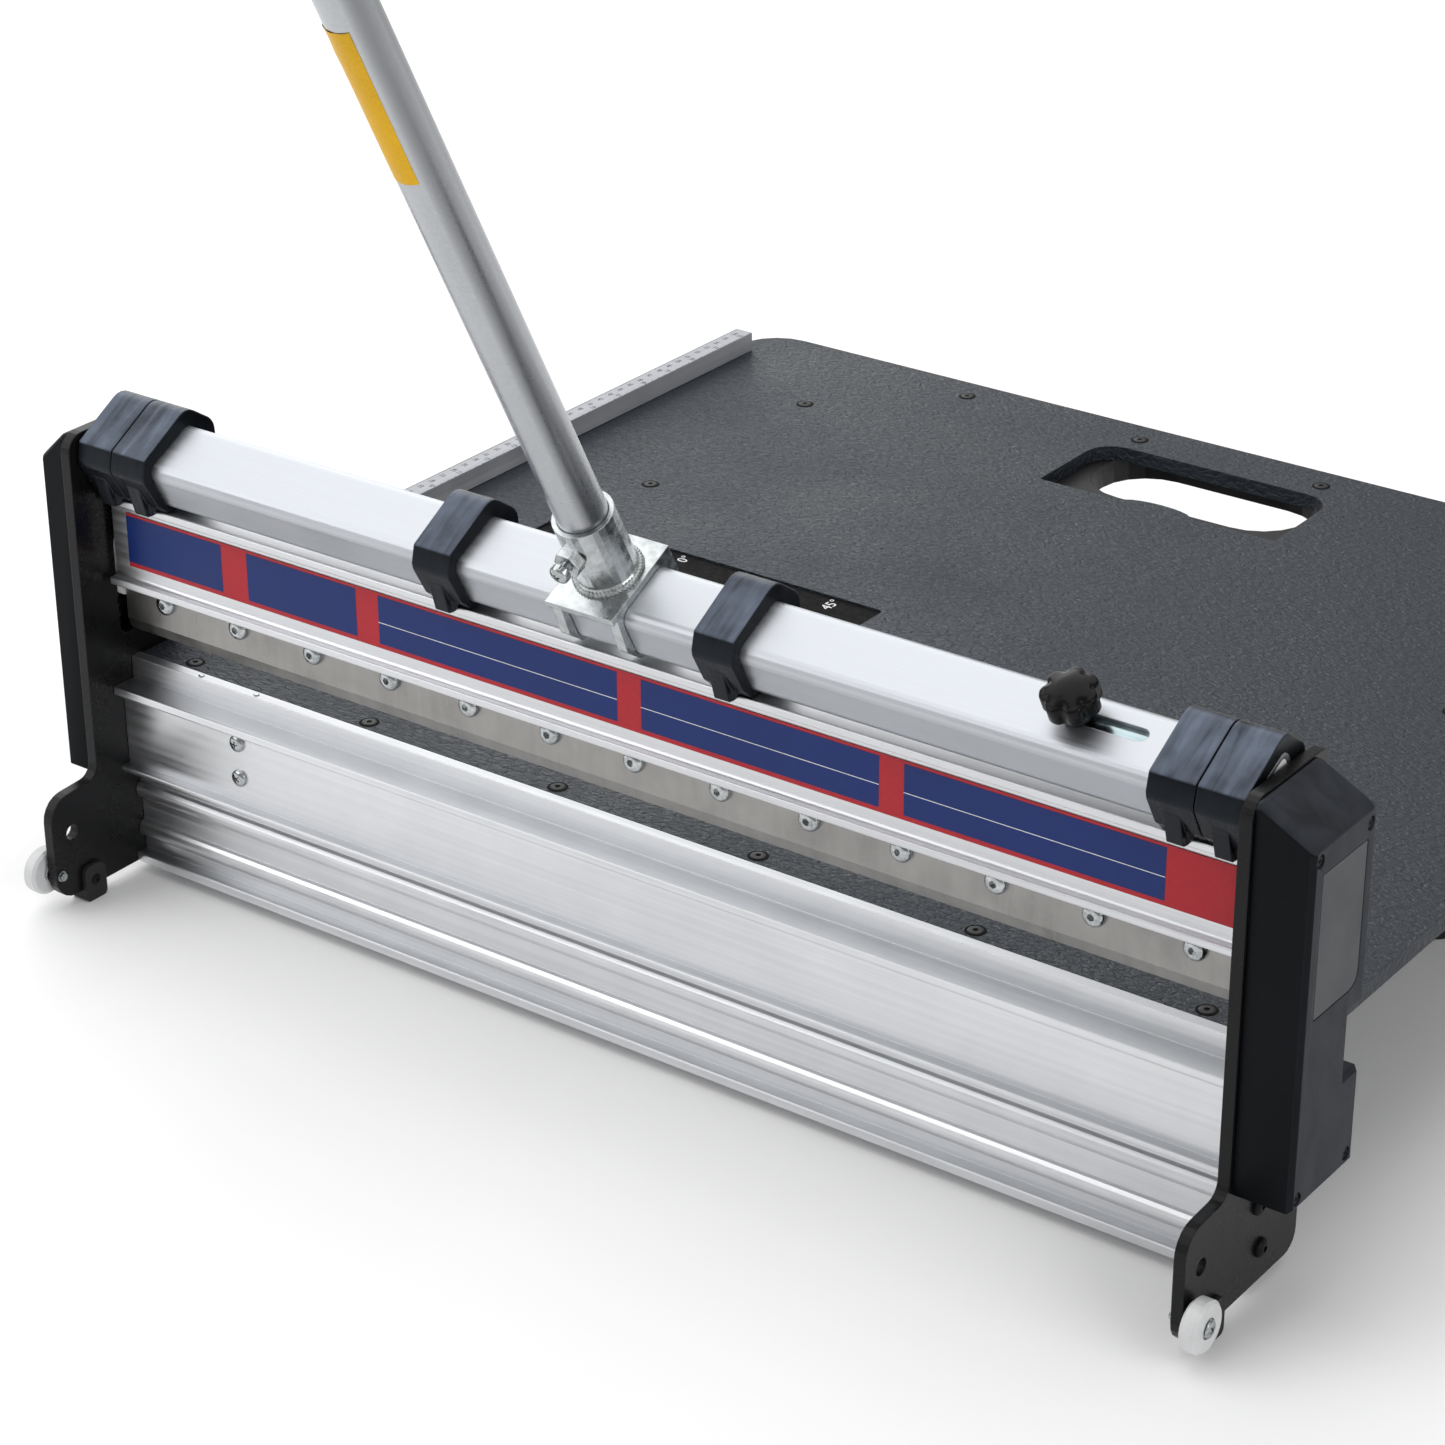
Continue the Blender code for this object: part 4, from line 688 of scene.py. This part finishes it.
# smooth copies of the sleeves: a round back corner, softened sides and a gusset down each tab
sleeveLook = {"corner": (-0.12727, 0.26848), "near": 0.0004, "round": 0.0038, "roundSteps": 7, "side": 0.0005,
              "sideSteps": 2, "sharp": 1.0, "flat": math.radians(0.5), "atEnd": 0.00001, "tab": 0.0002,
              "gussetRound": 0.0003, "gussetSteps": 2,
              "gusset": [(-0.1769, 0.2437), (-0.1719, 0.2266), (-0.1709, 0.2259), (-0.1685, 0.2259),
                         (-0.1685, 0.2335), (-0.1725, 0.2395)]}


def prism(outline, left, right):
    # an outline in (y, z) drawn out along X
    shape = bmesh.new()
    shape.faces.new([shape.verts.new((left, y, z)) for y, z in outline])
    return drawnOut(shape, (right - left, 0, 0))


for number in range(1, 7):
    name = f"cam_sleeve_{number}"
    low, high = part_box(name)
    shell = copiedSolid(name)
    bmesh.ops.dissolve_limit(shell, angle_limit=sleeveLook["flat"], verts=shell.verts[:], edges=shell.edges[:])
    tabEnds = [vert.co.x for vert in shell.verts if vert.co.z < low.z + sleeveLook["tab"]]
    corner = Vector(sleeveLook["corner"])
    back = [edge for edge in shell.edges
            if all((vert.co.yz - corner).length < sleeveLook["near"] for vert in edge.verts)]
    rounded(shell, back, sleeveLook["round"], sleeveLook["roundSteps"])
    rims = [edge for edge in shell.edges if edge.calc_face_angle(0) > sleeveLook["sharp"]
            and any(all(abs(vert.co.x - end) < sleeveLook["atEnd"] for vert in edge.verts)
                    for end in (low.x, high.x))]
    rounded(shell, rims, sleeveLook["side"], sleeveLook["sideSteps"])
    gusset = prism(sleeveLook["gusset"], min(tabEnds), max(tabEnds))
    rounded(gusset, gusset.edges[:], sleeveLook["gussetRound"], sleeveLook["gussetSteps"])
    joined(shell, gusset)
    sleeve = newPiece(f"smooth_sleeve_{number}", shell, [sleeveNylon], "press_bar", True)
    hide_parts(name)

# white caps flush with the bar's ends, sliced from the plugs so that they keep the lock's hole; their nylon is a paler
# copy of the plugs' white, painted light for caps that sit in shade
endCaps = {"inset": 0.0015, "flush": 0.00004, "span": 1.0}
barLow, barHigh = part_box("cam_bar")
for (side, word), end in zip(sides, (barLow.x, barHigh.x)):
    cap = copiedSolid(f"{word}_end_plug")
    bmesh.ops.translate(cap, verts=cap.verts[:], vec=(side * (endCaps["inset"] - endCaps["flush"]), 0, 0))
    for edge, way in ((end - side * endCaps["inset"], -side), (end - side * endCaps["flush"] / 2, side)):
        block = bmesh.new()
        bmesh.ops.create_cube(block, size=endCaps["span"])
        bmesh.ops.translate(block, verts=block.verts[:], vec=(edge + way * endCaps["span"] / 2, 0, 0))
        cap = cutAway(cap, block)
    newPiece(f"{word}_end_cap", cap, [litCapNylon], "press_bar")
print("sleeves and end caps made")

# wound return springs over the plain tubes
coil = {"wire": 0.00058, "radius": 0.00438, "sides": 8, "steps": 28, "closed": 1.5, "closedPitch": 0.0013, "turns": 11}
for side, word in sides:
    springLow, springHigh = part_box(f"{word}_return_spring")
    middle = (springLow + springHigh) / 2
    length = springHigh.z - springLow.z - 2 * coil["wire"]
    ends = coil["closed"] * coil["closedPitch"]
    wound = standingRing(coil["wire"], coil["sides"], coil["radius"], coil["wire"], True)
    tip = wound.verts[:] + wound.edges[:] + wound.faces[:]
    for turns, rise in ((coil["closed"], ends), (coil["turns"], length - 2 * ends), (coil["closed"], ends)):
        steps = round(turns * coil["steps"])
        tip = swept(wound, tip, math.tau * turns, steps, rise / steps)
    put(wound, Matrix.Translation((middle.x, middle.y, springLow.z)))
    spring = newPiece(f"{word}_wound_spring", outward(wound), [springSteel], "base")
    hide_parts(f"{word}_return_spring")
    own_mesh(spring)
print("springs made")

# the bar's sloping top: its lean, the way out of it, the way across it and a point on it
leanAngle = math.radians(27.6)
barOut = Vector((0, -math.sin(leanAngle), math.cos(leanAngle)))
barAcross = Vector((0, math.cos(leanAngle), math.sin(leanAngle)))
flatPoint = place(0, 25, 256.8)
leanTurn = Matrix.Rotation(leanAngle, 4, "X")

# smooth star knob with seven lobes and a waisted boss, over the plain one
starKnob = {"radius": 0.0137, "lobes": 7, "lobeShare": 0.150, "low": 0.0080, "high": 0.0184, "edge": 0.0018,
            "edgeRows": 4, "dome": 0.0030, "domeRows": 10, "fade": 5, "steps": 126, "along": 0.248, "across": 0.0030,
            "bossSteps": 48,
            "boss": [(0.0031, 0.0004), (0.0067, 0.0004), (0.0072, 0.0010), (0.0072, 0.0026), (0.0068, 0.0031),
                     (0.0072, 0.0036), (0.0072, 0.0062), (0.0080, 0.0085), (0.0031, 0.0085)]}


def knobRing(verts, level, drawnIn, lobeShare, look):
    # sets a ring of points on the lobed outline at this level
    for vert in verts:
        angle = math.atan2(vert.co.y, vert.co.x)
        wave = (1 - math.cos(look["lobes"] * angle)) / 2
        reach = (look["radius"] - drawnIn) * (1 - look["lobeShare"] * lobeShare * wave ** 2)
        vert.co = (reach * math.cos(angle), reach * math.sin(angle), level)


def buildKnob(look):
    edge = look["edge"]
    turns = [math.pi / 2 * step / look["edgeRows"] for step in range(look["edgeRows"] + 1)]
    rows = [(look["low"] + edge * (1 - math.cos(turn)), edge * (1 - math.sin(turn)), 1.0) for turn in turns]
    rows += [(look["high"] - edge * (1 - math.sin(turn)), edge * (1 - math.cos(turn)), 1.0) for turn in turns]
    for step in range(1, look["domeRows"]):
        share = step / look["domeRows"]
        rows.append((look["high"] + look["dome"] * math.sin(share * math.pi / 2),
                     edge + (look["radius"] - edge) * share, (1 - share) ** look["fade"]))
    shape = bmesh.new()
    bmesh.ops.create_circle(shape, cap_ends=True, segments=look["steps"], radius=look["radius"])
    top = shape.faces[:][0]
    knobRing(top.verts, *rows[0], look)
    bmesh.ops.duplicate(shape, geom=[top])  # the copy closes the underside
    for row in rows[1:]:
        top = bmesh.ops.extrude_discrete_faces(shape, faces=[top])["faces"][0]
        knobRing(top.verts, *row, look)
    bmesh.ops.remove_doubles(shape, verts=shape.verts[:], dist=mergeDistance)
    return outward(shape)


knobShape = buildKnob(starKnob)
joined(knobShape, spun(starKnob["boss"], starKnob["bossSteps"]))
knobSeat = flatPoint + barAcross * starKnob["across"]
knobSeat.x = starKnob["along"]
put(knobShape, facing(knobSeat, barOut))
knob = newPiece("lock_star_knob", knobShape, [knobPlastic], "lock_knob")
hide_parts("star_knob")
print("star knob made")

# printed fields on the carrier's red strip, each a thin film
stripFields = {"film": 0.00010, "low": 184.0, "high": 210.5, "line": 195.6, "lineHeight": 0.00035,
               "blue": [(-331.0, -263.6, False), (-245.8, -171.5, False), (-156.6, -5.4, True),
                        (9.1, 146.6, True), (160.4, 298.2, True)]}
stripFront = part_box("carrier_strip")[0].y
fields = bmesh.new()
for left, right, ruled in stripFields["blue"]:
    low, high = place(left, 0, stripFields["low"]), place(right, 0, stripFields["high"])
    low.y, high.y = stripFront - stripFields["film"], stripFront
    slab(fields, low, high)
    if ruled:
        low.z = place(0, 0, stripFields["line"]).z
        high.z = low.z + stripFields["lineHeight"]
        low.y, high.y = stripFront - 2 * stripFields["film"], stripFront - stripFields["film"]
        slab(fields, low, high, 1)
newPiece("strip_fields", fields, [blueFilm, whiteInk], "blade_slide")

# blank grey label in the right cover's recess, with one large round corner
coverLabel = {"front": 10.8, "back": 49.9, "low": 157.6, "high": 228.4, "corner": 0.0008, "cornerSteps": 4,
              "cut": 0.0078, "cutSteps": 8, "thick": 0.00045, "recess": 0.0006}
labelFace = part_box("right_cover")[1].x - coverLabel["recess"]
label = bmesh.new()
points = [place(0, coverLabel[y], coverLabel[z])
          for y, z in (("front", "low"), ("back", "low"), ("back", "high"), ("front", "high"))]
for point in points:
    point.x = labelFace
corners = [label.verts.new(point) for point in points]
label.faces.new(corners)
rounded(label, [corners[1]], coverLabel["cut"], coverLabel["cutSteps"], "VERTICES")
rounded(label, [corners[0], *corners[2:]], coverLabel["corner"], coverLabel["cornerSteps"], "VERTICES")
newPiece("cover_label", drawnOut(label, (coverLabel["thick"], 0, 0)), [labelGrey], "base")


def lettering(shape, words, size, point, thick=0.00004):
    # flat characters with a little thickness, their tops to the left, centred on a point
    curve = bpy.data.curves.new("characters", "FONT")
    curve.body = words
    curve.size = size
    curve.align_x = "CENTER"
    curve.align_y = "CENTER"
    curve.resolution_u = 2
    curve.extrude = thick
    holder = linked("characters", curve)
    mesh = bpy.data.meshes.new_from_object(holder.evaluated_get(bpy.context.evaluated_depsgraph_get()))
    mesh.transform(Matrix.Translation(point) @ Matrix.Rotation(math.pi / 2, 4, "Z"))
    shape.from_mesh(mesh)
    bpy.data.objects.remove(holder)
    bpy.data.curves.remove(curve)
    bpy.data.meshes.remove(mesh)


# a thin flat scale over the ruler's groove; centimetres near its outer edge, inches near its inner edge
ruler = {"start": 29.4, "outer": -355.8, "inner": -343.8, "film": 0.00008, "size": 0.0042, "tick": 0.00028,
         "tickRise": 0.00006, "digitRise": 0.00004, "long": 1.5, "short": 0.9, "nearEnd": 0.001, "farEnd": 0.003}
# each row: pitch, parts of a pitch, edge, way in from the edge, and the digits' place
rulerRows = [(10.0, 10, ruler["outer"], 1, -351.0), (25.4, 4, ruler["inner"], -1, -346.4)]
rulerLow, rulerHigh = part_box("fence_ruler")
scaleTop = rulerHigh.z + ruler["film"]
scale = bmesh.new()
slab(scale, Vector((place(ruler["outer"], 0, 0).x, rulerLow.y + ruler["film"], rulerHigh.z)),
     Vector((place(ruler["inner"], 0, 0).x, rulerHigh.y - ruler["film"], scaleTop)))
newPiece("ruler_scale", scale, [rulerSatin], "base")
marks = bmesh.new()
for pitch, parts, edge, way, digitRow in rulerRows:
    count = int((rulerHigh.y * 1000 + origin["front"] - ruler["start"]) * parts / pitch)
    for index in range(count + 1):
        y = ruler["start"] + index * pitch / parts
        if place(0, y, 0).y < rulerLow.y + ruler["nearEnd"]:
            continue
        reach = ruler["long"] if index % parts == 0 else ruler["short"]
        ends = sorted((edge, edge + way * reach))
        low, high = place(ends[0], y, 0), place(ends[1], y, 0)
        low.y -= ruler["tick"] / 2
        high.y += ruler["tick"] / 2
        low.z, high.z = scaleTop, scaleTop + ruler["tickRise"]
        slab(marks, low, high)
        if index % parts == 0 and place(0, y, 0).y < rulerHigh.y - ruler["farEnd"]:
            point = place(digitRow, y, 0)
            point.z = scaleTop + ruler["digitRise"]
            lettering(marks, str(index // parts), ruler["size"], point)
newPiece("ruler_marks", marks, [greyInk], "base")

# thin smooth lining in the board's recess, grown from the recess floor itself; its near-black is partly the recess
# floor's own darker finish and partly painted shade under the bar
lining = {"floor": 0.1278, "upward": 0.9, "near": 0.00002, "lift": 0.00001, "thick": 0.00008}
liningShape = copiedSolid("table_board")
other = [face for face in liningShape.faces if face.normal.z <= lining["upward"]
         or any(abs(vert.co.z - lining["floor"]) >= lining["near"] for vert in face.verts)]
bmesh.ops.delete(liningShape, geom=other, context="FACES")
bmesh.ops.translate(liningShape, verts=liningShape.verts[:], vec=(0, 0, lining["lift"]))
newPiece("recess_lining", drawnOut(liningShape, (0, 0, lining["thick"])), [blackAndShade], "base")

# angle marks printed in the board's recess
angleMarks = {"size": 0.0095, "level": 0.12794, "places": [("0\u00b0", -181, 309.5), ("45\u00b0", -78, 307)]}
angles = bmesh.new()
for words, x, y in angleMarks["places"]:
    point = place(x, y, 0)
    point.z = angleMarks["level"]
    lettering(angles, words, angleMarks["size"], point)
newPiece("angle_marks", angles, [whiteInk], "base")
print("print and labels made")

# bright sealing strip right under the bar's slot; it moves with the lock pin, between the wall and the end plug
slider = {"left": 0.2350, "right": 0.2848, "half": 0.0052, "top": 0.002575, "bottom": 0.002725, "round": 0.00004,
          "roundSteps": 2}
sliderShape = bmesh.new()
slab(sliderShape, Vector((slider["left"], -slider["half"], -slider["bottom"])),
     Vector((slider["right"], slider["half"], -slider["top"])))
rounded(sliderShape, sliderShape.edges[:], slider["round"], slider["roundSteps"])
put(sliderShape, Matrix.Translation(flatPoint + barAcross * starKnob["across"]) @ leanTurn)
newPiece("lock_slider", sliderShape, [sliderZinc], "bar_lock")

# handle: clamp bolt with a cross recess and a thread, tube, weld bead, and a blank sticker on the tube
handle = {"x": -0.01045, "across": 0.0024, "floor": 0.0044}
handleFoot = flatPoint + barAcross * handle["across"]
handleFoot.x = handle["x"]
socketFoot = handleFoot + barOut * handle["floor"]

clamp = {"rise": 0.0254, "swing": math.radians(2.0), "turn": 0.4, "shank": 0.0029, "thread": 0.00035,
         "pitch": 0.0008, "start": 0.0245, "inside": 0.0132, "bite": 0.0002, "steps": 24}
clampHead = {"radius": 0.0052, "rise": 0.0050, "rim": 0.0026, "cross": 0.0058, "depth": 0.0016}
clampWay = -barAcross * math.cos(clamp["swing"]) - Vector((math.sin(clamp["swing"]), 0, 0))
core = clamp["shank"] - clamp["thread"]
threads = [(0, clamp["inside"] - clamp["start"])]
for index in range(int((clamp["start"] - clamp["inside"]) / clamp["pitch"])):
    height = clamp["inside"] - clamp["start"] + index * clamp["pitch"]
    threads += [(core, height), (clamp["shank"], height + clamp["pitch"] / 2)]
threads += [(core, clamp["bite"]), (0, clamp["bite"])]
boltShape = crossScrew(clampHead)
joined(boltShape, spun(threads, clamp["steps"]))
boltSeat = socketFoot + barOut * clamp["rise"] + clampWay * clamp["start"]
put(boltShape, facing(boltSeat, clampWay, clamp["turn"]))
bolt = newPiece("cross_clamp_bolt", boltShape, [screwZinc], "press_bar")
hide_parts("clamp_bolt")

tube = {"radius": 0.0127, "wall": 0.0018, "length": 0.585, "foot": 0.0084, "edge": 0.0004, "steps": 96}
low, high = tube["foot"], tube["foot"] + tube["length"]
inside = tube["radius"] - tube["wall"]
outline = [(inside, low + tube["edge"]), (inside + tube["edge"], low), (tube["radius"] - tube["edge"], low),
           (tube["radius"], low + tube["edge"]), (tube["radius"], high - tube["edge"]),
           (tube["radius"] - tube["edge"], high), (inside + tube["edge"], high), (inside, high - tube["edge"]),
           (inside, low + tube["edge"])]
tubeShape = spun(outline, tube["steps"])
put(tubeShape, facing(handleFoot, barOut))
tubePiece = newPiece("smooth_handle_tube", tubeShape, [greyTube], "press_bar", True)
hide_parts("handle_tube")

weld = {"ring": 0.0161, "bead": 0.0017, "sides": 14, "rise": 0.0005, "steps": 260, "ripples": 52, "slant": 6,
        "ripple": 0.00022, "roughen": 0.00030, "grain": 260}
bead = standingRing(weld["bead"], weld["sides"], weld["ring"], weld["rise"], False)
swept(bead, bead.verts[:] + bead.edges[:], math.tau, weld["steps"], whole=True)
bmesh.ops.remove_doubles(bead, verts=bead.verts[:], dist=mergeDistance)
for vert in bead.verts:
    angle = math.atan2(vert.co.y, vert.co.x)
    middle = Vector((weld["ring"] * math.cos(angle), weld["ring"] * math.sin(angle), weld["rise"]))
    away = (vert.co - middle).normalized()
    scallop = math.cos(angle * weld["ripples"] + weld["slant"] * away.z) * weld["ripple"]
    vert.co += away * (scallop + noise.noise(vert.co * weld["grain"]) * weld["roughen"])
put(outward(bead), facing(socketFoot, barOut))
newPiece("socket_weld", bead, [weldMetal], "press_bar")

sticker = {"radius": 0.01277, "thick": 0.00012, "low": 0.266, "high": 0.350, "from": -150, "to": -58, "rows": 24,
           "steps": 22, "wrinkled": 0.030, "wrinkle": 0.0006, "grain": 190}
film = bmesh.new()
profile = [(sticker["radius"], sticker["low"] + (sticker["high"] - sticker["low"]) * row / sticker["rows"])
           for row in range(sticker["rows"] + 1)]
swept(film, profileLine(film, profile), math.radians(sticker["to"] - sticker["from"]), sticker["steps"])
put(film, Matrix.Rotation(math.radians(sticker["from"]), 4, "Z"))
for vert in film.verts:
    # slight wrinkles along the upper edge
    near = max(0.0, (vert.co.z - sticker["high"] + sticker["wrinkled"]) / sticker["wrinkled"])
    away = Vector((vert.co.x, vert.co.y, 0)).normalized()
    vert.co += away * abs(noise.noise(vert.co * sticker["grain"])) * near * sticker["wrinkle"]
outward(film)
bmesh.ops.solidify(film, geom=film.faces[:], thickness=sticker["thick"])
put(outward(film), Matrix.Translation(handleFoot) @ leanTurn)
newPiece("tube_sticker", film, [yellowFilm], "press_bar")
print("lock and handle made")

# camera at the photograph's place
cameraLook = {"place": (1.01169, -1.44575, 1.00120), "azimuth": 36.616, "elevation": 26.356, "roll": -0.397,
              "lens": 94.58, "sensor": 36, "far": 20}
azimuth, elevation, roll = (math.radians(cameraLook[key]) for key in ("azimuth", "elevation", "roll"))
forward = Vector((-math.sin(azimuth) * math.cos(elevation), math.cos(azimuth) * math.cos(elevation),
                  -math.sin(elevation)))
level = forward.cross(Vector((0, 0, 1))).normalized()
upright = level.cross(forward)
right = level * math.cos(roll) + upright * math.sin(roll)
up = upright * math.cos(roll) - level * math.sin(roll)
camera = bpy.data.cameras.new("studio camera")
camera.sensor_width = cameraLook["sensor"]
camera.lens = cameraLook["lens"]
camera.clip_end = cameraLook["far"]
cameraHolder = linked("studio camera", camera)
cameraHolder.matrix_world = (Matrix.Translation(cameraLook["place"])
                             @ Matrix((right, up, -forward)).transposed().to_4x4())
bpy.context.scene.camera = cameraHolder

# pale floor with a faint mottle
floorLook = {"size": 6, "middle": (0.94, 0.94, 0.94), "dark": (0.93, 0.93, 0.93), "light": (0.95, 0.95, 0.95),
             "gloss": 0.80, "specular": 0.2, "mottle": 3.0}
floorShape = bmesh.new()
bmesh.ops.create_grid(floorShape, x_segments=2, y_segments=2, size=floorLook["size"])
floorMesh = bpy.data.meshes.new("pale_floor")
floorShape.to_mesh(floorMesh)
floorShape.free()
floorFinish, tree, shader = startFinish("pale floor", floorLook["middle"], floorLook["gloss"], 0.0,
                                        floorLook["specular"])
mottle = spread(tree, grain(tree, floorLook["mottle"], detail=2), 0, 1)
tree.links.new(layered(tree, mottle, floorLook["dark"], floorLook["light"]), shader.inputs["Base Color"])
floorMesh.materials.append(floorFinish)
floor = linked("pale_floor", floorMesh)

# soft studio light: a wide one above, one from the front left, one behind the table and a weak one on the right
studioLights = [
    {"name": "top light", "place": (-1.0, 0.3, 3.0), "aim": (0, 0, 0.15), "size": 4.6, "power": 96},
    {"name": "front light", "place": (-2.3, -2.5, 1.9), "aim": (0, -0.1, 0.15), "size": 2.4, "power": 34},
    {"name": "back light", "place": (-3.0, 2.5, 1.5), "aim": (-0.2, 0.2, 0.15), "size": 2.8, "power": 36},
    {"name": "side light", "place": (2.6, -0.6, 1.4), "aim": (0.2, 0, 0.15), "size": 1.8, "power": 22},
]
for look in studioLights:
    light = bpy.data.lights.new(look["name"], "AREA")
    light.size = look["size"]
    light.energy = look["power"]
    holder = linked(look["name"], light)
    holder.visible_camera = False
    aim = (Vector(look["aim"]) - Vector(look["place"])).to_track_quat("-Z", "Y")
    holder.matrix_world = Matrix.Translation(look["place"]) @ aim.to_matrix().to_4x4()
roomLook = {"colour": (1.0, 1.0, 1.0), "strength": 0.40}
room = bpy.data.worlds.new("pale room")
bpy.context.scene.world = room
room.use_nodes = True
background = room.node_tree.nodes["Background"]
background.inputs["Color"].default_value = (*roomLook["colour"], 1)
background.inputs["Strength"].default_value = roomLook["strength"]
bpy.context.scene.view_settings.view_transform = "Standard"
print("camera, floor and light made")
